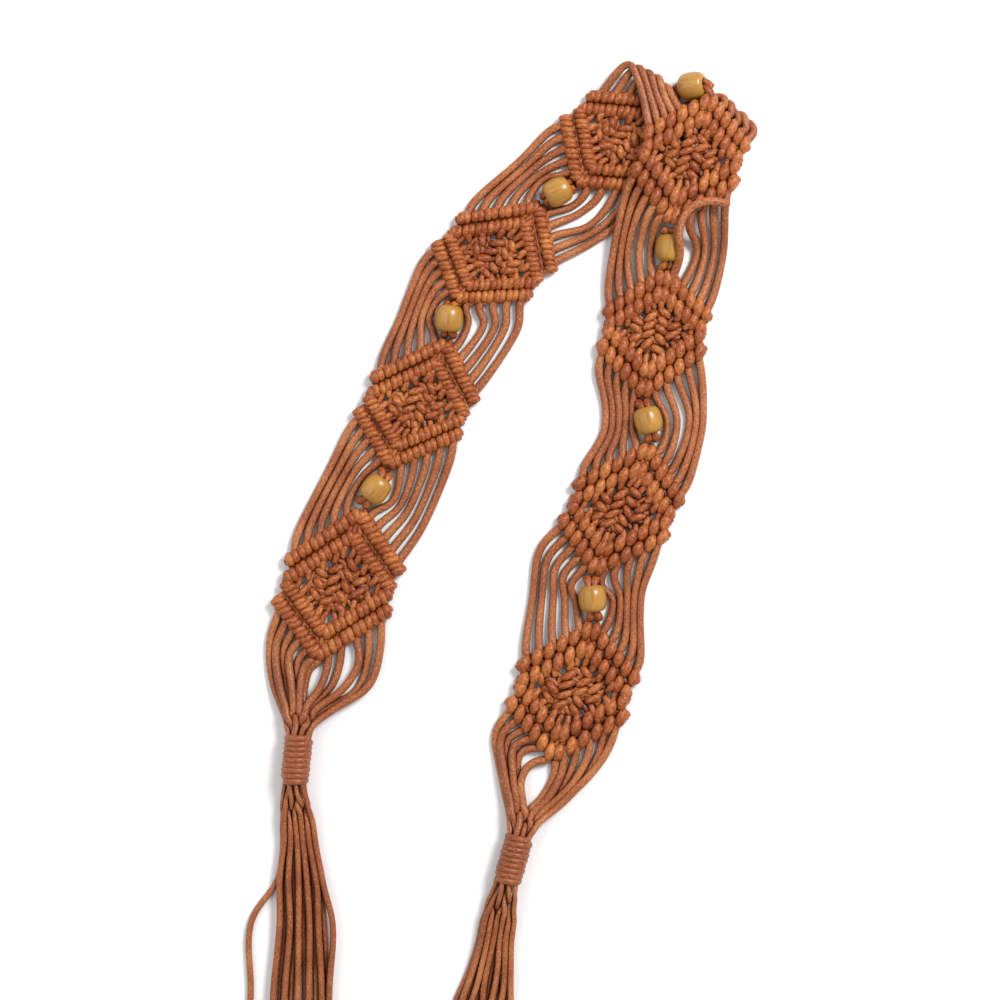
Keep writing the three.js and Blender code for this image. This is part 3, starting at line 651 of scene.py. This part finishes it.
def tip_fillers(weave, diamond, top):
    for place in range(TIP_FILLERS):
        aside = (place - 0.5 * (TIP_FILLERS - 1)) * TIP_SPACING
        path = []
        for share in np.linspace(-0.1, 1.1, 7):
            v = mix(OUTER_TOP, INNER_TOP, share) * top
            path.append(on_diamond(diamond, aside * mix(0.4, 1, share), v, TIP_LEVEL))
        weave.sweep(path, TIP_RADIUS, 10)


def bypass_cord(weave, diamond, side):
    reach = BYPASS_ROW * INNER_SIDE * side
    path = curve_through([
        on_diamond(diamond, reach, (1 - BYPASS_ROW) * INNER_TOP, ROW_LEVEL),
        on_diamond(diamond, reach * 0.96, 0, ROW_LEVEL),
        on_diamond(diamond, reach, -(1 - BYPASS_ROW) * INNER_TOP, ROW_LEVEL),
    ], 10)
    weave.sweep(path, BYPASS_RADIUS, 10)


def diamond_piece(diamond, material):
    weave = Weave()
    knot_leaves(weave, diamond)
    quarters = [(top, side) for top in (1, -1) for side in (1, -1)]
    for top, side in quarters:
        start = (-ROW_PAST_TIP * side, INNER_TOP * top)
        hitched_row(weave, diamond, start, (ROW_REACH * INNER_SIDE * side, ROW_PAST_TIP * top))
    for u, v in KNOT_PLACES:
        square_knot(weave, diamond, u, v)
    for top, side in quarters:
        link_cords(weave, diamond, top, side)
    for side in (1, -1):
        underlay(weave, diamond, side)
    for top in (1, -1):
        tip_fillers(weave, diamond, top)
    for side in (1, -1):
        bypass_cord(weave, diamond, side)
    name = f"knotted_diamond_{diamond.letter}"
    weave.piece(name, material, [f"diamond_{diamond.letter}"], "knots")


# Loose cords: how close together they settle, and their thickness along the way, both as
# shares of the cord's own
def cord_kind(closeness, count, places, thickness):
    spread = np.interp(np.linspace(0, 1, count), places, thickness)
    return SimpleNamespace(settled=closeness * RADIUS, radius=RADIUS * spread)


def cords_piece(name, node, kind, rows, paths, material, row_material=None):
    """Loose cords along the paths, and the outer rows that they run into."""
    weave = Weave()
    for diamond, top, side in rows:
        outer_row(weave, diamond, top, side)
    weave.rows_end()
    for path in settle(paths, kind.settled):
        weave.sweep(path, kind.radius, 12)
    weave.piece(name, material, [node], "cord", row_material)


# Side cords
CORD_LEVEL = 0.42 * ROW_HEIGHT

# The side cords are a little slack, and thicker where they leave the rows
SWAG_POINTS = 56
SWAG = cord_kind(0.98, SWAG_POINTS, [0, 0.2, 0.4, 0.6, 0.8, 1], [1.3, 1.22, 1.1, 1.1, 1.22, 1.3])

# The swag whose innermost cord lies loose over its bead
LOOSE_PAIR = "ef_right"

# How far out the cords of a full swag swing where they leave the upper diamond
SWING = 0.3

# How far from the upper diamond, in row widths, and how far outward its cords bend
SHOULDERS = {
    "ef_right": (1.5, 0.1),
    "fg_left": (1.6, 0),
    "gh_left": (2.4, 0.25),
    "gh_right": (1.6, 0.1),
}


def row_point(diamond, top, side, order, innermost=0.16):
    share = mix(0.9, innermost, order / (CORDS_PER_SIDE - 1))
    place = mix(np.array([0, OUTER_TOP]), OUTER_END, share)
    return on_diamond(diamond, place[0] * side, place[1] * top, CORD_LEVEL)


def beside_row(diamond, top, side, order, away=1, outward=0.45):
    way = diamond.along * top + diamond.cross * outward * side
    way /= np.linalg.norm(way)
    return row_point(diamond, top, side, order) + point(way * away * ROW_WIDTH, -0.2 * CORD)


def side_name(side):
    return "left" if side < 0 else "right"


def loose_path():
    """The cord that lies loose, from the raised diamond's side over its last row and a bead."""
    above = FOLD_LIFT + ROW_HEIGHT + 0.3 * CORD
    return curve_through([
        at_pixel(726, 207, above - 0.8 * CORD),
        at_pixel(713, 204, above),
        at_pixel(700, 205, above),
        at_pixel(688, 211, above),
        at_pixel(680, 223, above),
        at_pixel(677, 241, above),
        at_pixel(679, 256, 0.8 * above),
        row_point(diamonds[FOLD + 2], 1, 1, CORDS_PER_SIDE - 1),
    ], SWAG_POINTS)


def swag_piece(row, material, row_material):
    gap = gaps[row["gap"]]
    early, late = diamonds[row["gap"]], diamonds[row["gap"] + 1]
    upper, lower = (late, early) if early.front else (early, late)
    side = row["side"]
    hug = BEAD_DIAMETER / 2 + CLEARANCE + RADIUS
    pair = f"{early.letter}{late.letter}_{side_name(side)}"
    paths = []
    for order, name in enumerate(ORDERS):
        reach = side * (hug + row[name] * DIAMOND_WIDTH)
        level = RADIUS + row.get("over", 0) * CORD_LIFT * (1 - order / CORDS_PER_SIDE)
        swing = side * SWING * row["full"] * DIAMOND_WIDTH * (1 - order / CORDS_PER_SIDE)
        shoulder = beside_row(upper, -1, side, order, *SHOULDERS.get(pair, (1, 0.45)))
        shoulder += point(gap.crosswise * swing, 0)
        paths.append(curve_through([
            row_point(upper, -1, side, order),
            shoulder,
            point(gap.middle + gap.crosswise * reach, level),
            beside_row(lower, 1, side, order),
            row_point(lower, 1, side, order),
        ], SWAG_POINTS))
    if pair == LOOSE_PAIR:
        paths[-1] = loose_path()
    rows = [(upper, -1, side), (lower, 1, side)]
    cords_piece(f"swag_{pair}", f"side_cords_{pair}", SWAG, rows, paths, material, row_material)


def fold_piece(side, material, row_material):
    below, above = diamonds[FOLD], diamonds[FOLD + 1]
    bead = gaps[FOLD].middle
    paths = []
    for order, row in enumerate(FOLD_LEFT if side < 0 else FOLD_RIGHT):
        if side < 0:
            middle = [point(bead + np.array([row["crest_x"], row["crest_y"]]) * DIAMOND_WIDTH, FOLD_LIFT)]
        else:
            middle = [
                point(bead + np.array([row["out_x"], row["out_y"]]) * DIAMOND_WIDTH, RADIUS),
                point(bead + np.array([row["turn_x"], row["turn_y"]]) * DIAMOND_WIDTH, CORD_LIFT),
            ]
        paths.append(curve_through([
            row_point(below, 1, side, order),
            *middle,
            row_point(above, 1, side, order, 0.4 if side < 0 else 0.2),
        ], SWAG_POINTS))
    rows = [(below, 1, side), (above, 1, side)]
    word = side_name(side)
    cords_piece(f"folded_cords_{word}", f"fold_cords_{word}", SWAG, rows, paths, material, row_material)


# Beads and the pair of cords through each
PAIR_DIAMETER = 1.7 * CORD
BORE_RADIUS = 0.5 * (PAIR_DIAMETER + 2 * CLEARANCE)
BEAD_LIP = 0.045 * BEAD_DIAMETER
BEAD_SIDES = 48

# The bead at the fold lies askew: how far its bore rises, and how much higher it lies
FOLD_BEAD_RISE = 0.25 * BEAD_LENGTH
FOLD_BEAD_LIFT = 0.12 * BEAD_DIAMETER


def bead_axis(gap, index):
    at_fold = index == FOLD
    rise = FOLD_BEAD_RISE if at_fold else 0
    height = BEAD_DIAMETER / 2 + (FOLD_BEAD_LIFT if at_fold else 0)
    way = (gap.end - gap.start) / np.linalg.norm(gap.end - gap.start)
    axis = point(way, 2 * rise / BEAD_LENGTH)
    return point(gap.middle, height), axis / np.linalg.norm(axis)


def bead_piece(gap, index, material):
    """A barrel turned round its bore, with a small lip at either end."""
    centre, axis = bead_axis(gap, index)
    radius, half = BEAD_DIAMETER / 2, BEAD_LENGTH / 2
    outside = np.linspace(-1, 1, 33)
    bulge = (1 - np.abs(outside) ** 2.5) ** 0.5
    barrel = BORE_RADIUS + BEAD_LIP + (radius - BORE_RADIUS - BEAD_LIP) * bulge
    inner_lip, outer_lip = BORE_RADIUS + 0.35 * BEAD_LIP, BORE_RADIUS + 0.8 * BEAD_LIP
    profile = [(BORE_RADIUS, -half * 0.9), (inner_lip, -half), (outer_lip, -half)]
    profile += [(r, share * half * 0.985) for r, share in zip(barrel, outside)]
    profile += [(outer_lip, half), (inner_lip, half), (BORE_RADIUS, half * 0.9)]
    points, faces = [], []
    for r, y in profile:
        for side in range(BEAD_SIDES):
            angle = side * 2 * math.pi / BEAD_SIDES
            points.append((r * math.cos(angle), r * math.sin(angle), y))
    for ring in range(len(profile)):
        near, far = ring * BEAD_SIDES, (ring + 1) % len(profile) * BEAD_SIDES
        for side in range(BEAD_SIDES):
            other = (side + 1) % BEAD_SIDES
            faces.append((near + side, near + other, far + other, far + side))
    name = f"wooden_bead_{index + 1}"
    mesh = bpy.data.meshes.new(name)
    mesh.from_pydata(points, [], faces)
    mesh.polygons.foreach_set("use_smooth", [True] * len(mesh.polygons))
    piece = place_piece(name, mesh, material, [f"bead_{index + 1}"])
    piece.rotation_mode = "QUATERNION"
    piece.rotation_quaternion = Vector(axis).to_track_quat("Z", "Y")
    piece.location = Vector(centre)


# The pair's cords lie side by side, and are thicker outside the bead than in its bore
PAIR_OFFSET = 0.42 * CORD
PAIR_IN_BORE = 0.42
PAIR_OUTSIDE = 0.66


def centre_pair(gap, index, material):
    centre, axis = bead_axis(gap, index)
    aside = np.cross(UP, axis)
    aside /= np.linalg.norm(aside)
    weave = Weave()
    level = point((0, 0), CORD_LEVEL)
    for way in (-1, 1):
        offset = aside * way * PAIR_OFFSET
        start = point(gap.start, 0) + level
        end = point(gap.end, 0) + level
        if index == FOLD:
            end = end + UP * FOLD_LIFT
        if index == FOLD + 1:
            start = start + UP * CORD_LIFT
        path = curve_through([
            start + offset * 1.5,
            centre - axis * 0.5 * BEAD_LENGTH + offset,
            centre + axis * 0.5 * BEAD_LENGTH + offset,
            end + offset * 1.5,
        ], 32)
        outside = np.linalg.norm(path - centre, axis=1) / (0.5 * BEAD_LENGTH) - 1
        weave.sweep(path, CORD * mix(PAIR_IN_BORE, PAIR_OUTSIDE, np.clip(outside * 3, 0, 1)), 12)
    weave.piece(f"threaded_pair_{index + 1}", material, [f"centre_cords_{index + 1}"], "cord")


# The two ends: gathered cords, coiled windings and tassels. The cords lie in two layers and
# run into a round bundle inside the winding.
BUNDLE_RADIUS = 0.5 * (WRAP_DIAMETER - 2 * CLEARANCE - 1.2 * CORD) - 0.33 * CORD
BUNDLE_CORE = 0.42
AXIS_LEVEL = WRAP_DIAMETER / 2
LOW_LAYER = 0.5 * CORD
GATHER_LAYER = 1.4 * CORD
GATHER_POINTS = 80
GATHER = cord_kind(0.86, GATHER_POINTS, [0, 0.3, 0.6, 0.8, 1], [1.25, 1.18, 1.12, 0.85, 0.66])


def end_places(end):
    diamond = diamonds[end["diamond"]]
    start = on_diamond(diamond, 0, -OUTER_TOP, 0)[:2]
    mouth = start + heading(end["heading"]) * end["away"] * DIAMOND_WIDTH
    foot = mouth + heading(end["turn"]) * WRAP_LENGTH
    return diamond, mouth, foot


def bundle_place(end, spot, index):
    """A cord's place in the round bundle inside the winding: three in the middle, nine round them."""
    ring = BUNDLE_RADIUS * (BUNDLE_CORE if index % 4 == 1 else 1)
    angle = index * 2 * math.pi / STRANDS
    across = point(heading(end["turn"] + 90), 0)
    return spot + across * -math.cos(angle / 2) * ring + UP * math.sin(angle * 3.5) * ring


def gather_piece(end, material, row_material):
    diamond, mouth, foot = end_places(end)
    starts = [row_point(diamond, -1, -1, order) for order in range(CORDS_PER_SIDE)]
    starts += [on_diamond(diamond, way * 0.5 * CORD, -0.93 * HALF_LENGTH, CORD_LEVEL) for way in (-1, 1)]
    starts += [row_point(diamond, -1, 1, order) for order in reversed(range(CORDS_PER_SIDE))]
    paths = []
    for index, (start, row) in enumerate(zip(starts, GATHERED[end["number"]])):
        layer = GATHER_LAYER if index % 2 else LOW_LAYER
        paths.append(curve_through([
            start,
            at_pixel(row["x1"], row["y1"], mix(RADIUS, layer, 0.4)),
            at_pixel(row["x2"], row["y2"], layer),
            at_pixel(row["x3"], row["y3"], mix(layer, AXIS_LEVEL, 0.5)),
            bundle_place(end, point(mouth, AXIS_LEVEL), index),
            bundle_place(end, point(mix(mouth, foot, 0.5), AXIS_LEVEL), index),
        ], GATHER_POINTS))
    rows = [(diamond, -1, -1), (diamond, -1, 1)]
    number = end["number"]
    cords_piece(f"gathered_cords_{number}", f"gather_{number}", GATHER, rows, paths, material, row_material)


# The winding is a little fuller than its solid, its cord fills more than its share of the
# length, and both of its ends are tucked in
WRAP_TURNS = 8.5
WRAP_STEPS = 28
WRAP_FULLNESS = 1.05
WRAP_CORD = 1.2
WRAP_WOBBLE = 0.025
WRAP_TUCK = 0.3
TUCKED_SHARE = 0.03


def wrap_piece(end, material):
    _, mouth, foot = end_places(end)
    axis = point(foot - mouth, 0) / WRAP_LENGTH
    across = np.cross(UP, axis)
    radius = 0.5 * WRAP_LENGTH / WRAP_TURNS * WRAP_CORD
    outside = WRAP_FULLNESS * WRAP_DIAMETER / 2
    ring = outside - radius
    centre = point(mouth, outside)
    count = int(WRAP_TURNS * WRAP_STEPS)
    path = []
    for step in range(count + 1):
        share = step / count
        angle = share * WRAP_TURNS * 2 * math.pi
        tucked = smooth(share, 1 - TUCKED_SHARE, 1) + 1 - smooth(share, 0, TUCKED_SHARE)
        tuck = 1 - WRAP_TUCK * tucked
        along = mix(radius, WRAP_LENGTH - radius, share)
        wobble = 1 + WRAP_WOBBLE * math.sin(angle * 0.37)
        path.append(
            centre + axis * along
            + (across * math.cos(angle) + UP * math.sin(angle)) * ring * tuck * wobble
        )
    weave = Weave()
    weave.sweep(path, radius, 12)
    weave.piece(f"coiled_winding_{end['number']}", material, [f"wrap_{end['number']}"], "cord")


TASSEL_LAYER = 1.42 * CORD
TASSEL_POINTS = 90
TASSEL = cord_kind(0.88, TASSEL_POINTS, [0, 0.12, 0.25, 1], [0.62, 0.66, 0.9, 0.96])


def tassel_piece(tassel, end, material):
    _, mouth, foot = end_places(end)
    across = heading(tassel["turn"] + 90)
    way = heading(tassel["turn"])

    def place(share, span, z):
        return point(foot + way * share * TASSEL_LENGTH + across * span * WRAP_DIAMETER, z)

    paths = []
    for index in range(STRANDS):
        share = index / (STRANDS - 1)
        astray = tassel["strayed"] if index == 0 else 0
        half = mix(tassel["left"], tassel["right"], share)
        last = mix(tassel["left_end"], tassel["right_end"], share)
        level = TASSEL_LAYER if index % 2 else LOW_LAYER
        sway = chance.uniform(-0.1, 0.1)
        paths.append(curve_through([
            bundle_place(end, point(mix(mouth, foot, 0.55), AXIS_LEVEL), index),
            bundle_place(end, point(foot, AXIS_LEVEL), index),
            place(0.14, half * 0.42, mix(level, AXIS_LEVEL, 0.3)),
            place(0.34, half * 0.8 + sway, level),
            place(0.5, half - astray - sway, level),
            place(0.76, mix(half, last, 0.5) - astray + sway, level),
            place(1 + chance.uniform(-0.02, 0.01), last - astray, level),
        ], TASSEL_POINTS))
    number = tassel["number"]
    cords_piece(f"loose_ends_{number}", f"tassel_{number}", TASSEL, [], paths, material)


# Materials
def new_material(name):
    material = bpy.data.materials.new(name)
    material.use_nodes = True
    return material, material.node_tree, material.node_tree.nodes["Principled BSDF"]


def maths(tree, operation, first, second=None):
    made = tree.nodes.new("ShaderNodeMath")
    made.operation = operation
    for socket, value in zip(made.inputs, (first, second)):
        if isinstance(value, bpy.types.NodeSocket):
            tree.links.new(value, socket)
        elif value is not None:
            socket.default_value = value
    return made.outputs[0]


def noise(tree, coordinates, scale, detail=3):
    made = tree.nodes.new("ShaderNodeTexNoise")
    made.inputs["Scale"].default_value = scale
    made.inputs["Detail"].default_value = detail
    tree.links.new(coordinates, made.inputs["Vector"])
    return made.outputs["Fac"]


def ramp(tree, factor, stops):
    made = tree.nodes.new("ShaderNodeValToRGB")
    elements = made.color_ramp.elements
    while len(elements) < len(stops):
        elements.new(0.5)
    for element, (place, colour) in zip(elements, stops):
        element.position = place
        element.color = (*colour, 1)
    tree.links.new(factor, made.inputs["Fac"])
    return made.outputs["Color"]


# Cords: a braided sheath with soft patches and fibres, pale specks that are partly wax and
# partly painted glints, and painted shade that darkens the hollows
BRAID_STRANDS = 4
BRAID_PITCH = 1.1 * CORD
HOLLOW_DEPTH = 1.1 * CORD
HOLLOW_PAINTED_SHADE = (0.14, 0.02, 0.004)
SPECK_COLOUR = (0.78, 0.42, 0.24, 1)
PATCH_SCALE = 90
FIBRE_SCALE = 1600
SPECK_SCALE = 1300
CORD_LOOKS = {
    "waxed_cord": dict(
        dark=(0.11, 0.015, 0.002), middle=(0.28, 0.055, 0.0065), light=(0.66, 0.24, 0.055),
        speckled=0.35, relief_strength=0.45,
    ),
    "free_cord": dict(
        dark=(0.13, 0.026, 0.006), middle=(0.28, 0.07, 0.017), light=(0.56, 0.22, 0.075),
        speckled=0.5, relief_strength=0.45,
    ),
    "wound_cord": dict(
        dark=(0.12, 0.02, 0.005), middle=(0.27, 0.066, 0.016), light=(0.46, 0.17, 0.06),
        speckled=0.3, relief_strength=0.16,
    ),
}


def cord_material(name):
    look = CORD_LOOKS[name]
    material, tree, shader = new_material(name)
    uv = tree.nodes.new("ShaderNodeUVMap")
    uv.uv_map = "round_and_along"
    parts = tree.nodes.new("ShaderNodeSeparateXYZ")
    tree.links.new(uv.outputs["UV"], parts.inputs[0])
    turn = maths(tree, "MULTIPLY", parts.outputs["X"], BRAID_STRANDS)
    along = maths(tree, "MULTIPLY", parts.outputs["Y"], 1 / BRAID_PITCH)
    waves = []
    for operation in ("ADD", "SUBTRACT"):
        phase = maths(tree, "MULTIPLY", maths(tree, operation, turn, along), 2 * math.pi)
        waves.append(maths(tree, "SINE", phase))
    braid = maths(tree, "MAXIMUM", waves[0], waves[1])
    braid_share = maths(tree, "MULTIPLY", maths(tree, "ADD", braid, 1.0), 0.5)

    coordinates = tree.nodes.new("ShaderNodeTexCoord").outputs["Object"]
    patches = noise(tree, coordinates, PATCH_SCALE, 2)
    fibres = noise(tree, coordinates, FIBRE_SCALE, 4)
    shade = tree.nodes.new("ShaderNodeAttribute")
    shade.attribute_name = "shade"
    tone = maths(tree, "MULTIPLY", braid_share, 0.1)
    tone = maths(tree, "ADD", tone, maths(tree, "MULTIPLY", patches, 0.38))
    tone = maths(tree, "ADD", tone, maths(tree, "MULTIPLY", fibres, 0.5))
    tone = maths(tree, "ADD", tone, maths(tree, "MULTIPLY", shade.outputs["Fac"], 0.1))
    colour = ramp(tree, tone, [(0.28, look["dark"]), (0.53, look["middle"]), (0.83, look["light"])])
    # Painted shade: ambient occlusion darkens the cord's colour in the hollows, where shade falls
    hollows = tree.nodes.new("ShaderNodeAmbientOcclusion")
    hollows.samples = 8
    hollows.inputs["Distance"].default_value = HOLLOW_DEPTH
    openness = ramp(tree, hollows.outputs["AO"], [(0.2, HOLLOW_PAINTED_SHADE), (0.7, (1, 1, 1))])
    # Pale specks, partly wax on the cord and partly painted glints of light
    speckled = (look["speckled"],) * 3
    specks = ramp(tree, noise(tree, coordinates, SPECK_SCALE, 2), [(0.6, (0, 0, 0)), (0.72, speckled)])
    specks_and_glints = tree.nodes.new("ShaderNodeMix")
    specks_and_glints.data_type = "RGBA"
    tree.links.new(specks, specks_and_glints.inputs[0])
    tree.links.new(colour, specks_and_glints.inputs[6])
    specks_and_glints.inputs[7].default_value = SPECK_COLOUR
    # Multiplies the colour by the painted shade of the hollows
    shaded_hollows = tree.nodes.new("ShaderNodeMix")
    shaded_hollows.data_type = "RGBA"
    shaded_hollows.blend_type = "MULTIPLY"
    shaded_hollows.inputs[0].default_value = 1
    tree.links.new(specks_and_glints.outputs[2], shaded_hollows.inputs[6])
    tree.links.new(openness, shaded_hollows.inputs[7])
    tree.links.new(shaded_hollows.outputs[2], shader.inputs["Base Color"])
    shader.inputs["Roughness"].default_value = 0.46
    shader.inputs["Specular IOR Level"].default_value = 0.4
    shader.inputs["Coat Weight"].default_value = 0.1
    shader.inputs["Coat Roughness"].default_value = 0.35

    sheath = maths(tree, "MULTIPLY", braid, 0.35)
    relief = maths(tree, "ADD", sheath, maths(tree, "MULTIPLY", fibres, 1.2))
    bump = tree.nodes.new("ShaderNodeBump")
    bump.inputs["Strength"].default_value = look["relief_strength"]
    bump.inputs["Distance"].default_value = 0.0002
    tree.links.new(relief, bump.inputs["Height"])
    tree.links.new(bump.outputs["Normal"], shader.inputs["Normal"])
    return material


WOOD_TONES = [(0.3, (0.3, 0.125, 0.014)), (0.5, (0.4, 0.19, 0.024)), (0.75, (0.5, 0.26, 0.04))]
GRAIN_SCALE = 900
GRAIN_STRETCH = (1, 1, 0.12)


def wood_material():
    material, tree, shader = new_material("varnished_wood")
    coordinates = tree.nodes.new("ShaderNodeTexCoord").outputs["Object"]
    stretch = tree.nodes.new("ShaderNodeMapping")
    stretch.inputs["Scale"].default_value = GRAIN_STRETCH
    tree.links.new(coordinates, stretch.inputs["Vector"])
    grain = noise(tree, stretch.outputs["Vector"], GRAIN_SCALE, 4)
    patches = noise(tree, coordinates, 110, 2)
    streaks = maths(tree, "MULTIPLY", grain, 0.55)
    tone = maths(tree, "ADD", streaks, maths(tree, "MULTIPLY", patches, 0.45))
    tree.links.new(ramp(tree, tone, WOOD_TONES), shader.inputs["Base Color"])
    shader.inputs["Roughness"].default_value = 0.34
    shader.inputs["Coat Weight"].default_value = 0.3
    shader.inputs["Coat Roughness"].default_value = 0.24
    bump = tree.nodes.new("ShaderNodeBump")
    bump.inputs["Strength"].default_value = 0.15
    bump.inputs["Distance"].default_value = 0.0001
    tree.links.new(grain, bump.inputs["Height"])
    tree.links.new(bump.outputs["Normal"], shader.inputs["Normal"])
    return material


# Floor, lights and camera. The lights' places are in metres from the middle of the view.
FLOOR_SIZE = 12
LIGHTS = [
    dict(name="key", x=0.8, y=0.7, z=1.2, size=0.5, power=24),
    dict(name="fill", x=-1.0, y=0.3, z=1.2, size=1.3, power=7),
]
WORLD_STRENGTH = 0.55
LENS = 85
SENSOR_WIDTH = 36


def add_floor():
    bpy.ops.mesh.primitive_plane_add(size=FLOOR_SIZE, location=(0, 0, 0))
    floor = bpy.context.object
    floor.name = "floor"
    material, _, shader = new_material("pale_floor")
    shader.inputs["Base Color"].default_value = (0.9, 0.9, 0.9, 1)
    shader.inputs["Roughness"].default_value = 0.9
    floor.data.materials.append(material)


def add_light(row, aim):
    place = (aim[0] + row["x"], aim[1] + row["y"], row["z"])
    light = bpy.data.lights.new(row["name"], "AREA")
    light.shape = "SQUARE"
    light.size = row["size"]
    light.energy = row["power"]
    lamp = bpy.data.objects.new(row["name"], light)
    bpy.context.scene.collection.objects.link(lamp)
    lamp.location = place
    lamp.rotation_mode = "QUATERNION"
    lamp.rotation_quaternion = (Vector(aim) - Vector(place)).to_track_quat("-Z", "Y")


def add_camera(centre):
    camera = bpy.data.cameras.new("camera")
    camera.lens = LENS
    camera.sensor_width = SENSOR_WIDTH
    seen = PHOTO_SIZE / PIXELS_PER_METRE
    distance = seen * camera.lens / camera.sensor_width
    holder = bpy.data.objects.new("camera", camera)
    bpy.context.scene.collection.objects.link(holder)
    holder.location = (centre[0], centre[1], distance + ROW_LEVEL)
    bpy.context.scene.camera = holder


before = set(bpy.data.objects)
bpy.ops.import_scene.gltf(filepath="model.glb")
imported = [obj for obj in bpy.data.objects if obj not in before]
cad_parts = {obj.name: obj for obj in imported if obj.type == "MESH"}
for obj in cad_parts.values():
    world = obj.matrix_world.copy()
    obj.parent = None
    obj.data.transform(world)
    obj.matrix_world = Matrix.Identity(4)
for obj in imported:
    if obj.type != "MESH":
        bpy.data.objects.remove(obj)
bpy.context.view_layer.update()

# The belt is laid out once from nowhere to find its first bead, and then where that bead is
_, gaps = lay_belt(np.zeros(2))
low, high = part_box("bead_1")
bead_1 = np.array((low + high) / 2)[:2]
diamonds, gaps = lay_belt(bead_1 - gaps[0].middle)

pixels = np.array([PHOTO_SIZE / 2 - BEAD_1_PIXEL[0], BEAD_1_PIXEL[1] - PHOTO_SIZE / 2])
view_centre = bead_1 + pixels / PIXELS_PER_METRE
add_camera(view_centre)

waxed = cord_material("waxed_cord")
free = cord_material("free_cord")
wound = cord_material("wound_cord")
wood = wood_material()
for diamond in diamonds:
    diamond_piece(diamond, waxed)
for row in SIDE_CORDS:
    swag_piece(row, free, waxed)
for side in (-1, 1):
    fold_piece(side, free, waxed)
for index, gap in enumerate(gaps):
    bead_piece(gap, index, wood)
    centre_pair(gap, index, waxed)
for end, tassel in zip(ENDS, TASSELS):
    gather_piece(end, free, waxed)
    wrap_piece(end, wound)
    tassel_piece(tassel, end, free)

add_floor()
for row in LIGHTS:
    add_light(row, (view_centre[0], view_centre[1], 0))
world = bpy.data.worlds.new("studio")
bpy.context.scene.world = world
world.use_nodes = True
world.node_tree.nodes["Background"].inputs["Color"].default_value = (1, 1, 1, 1)
world.node_tree.nodes["Background"].inputs["Strength"].default_value = WORLD_STRENGTH
bpy.context.scene.view_settings.view_transform = "Standard"
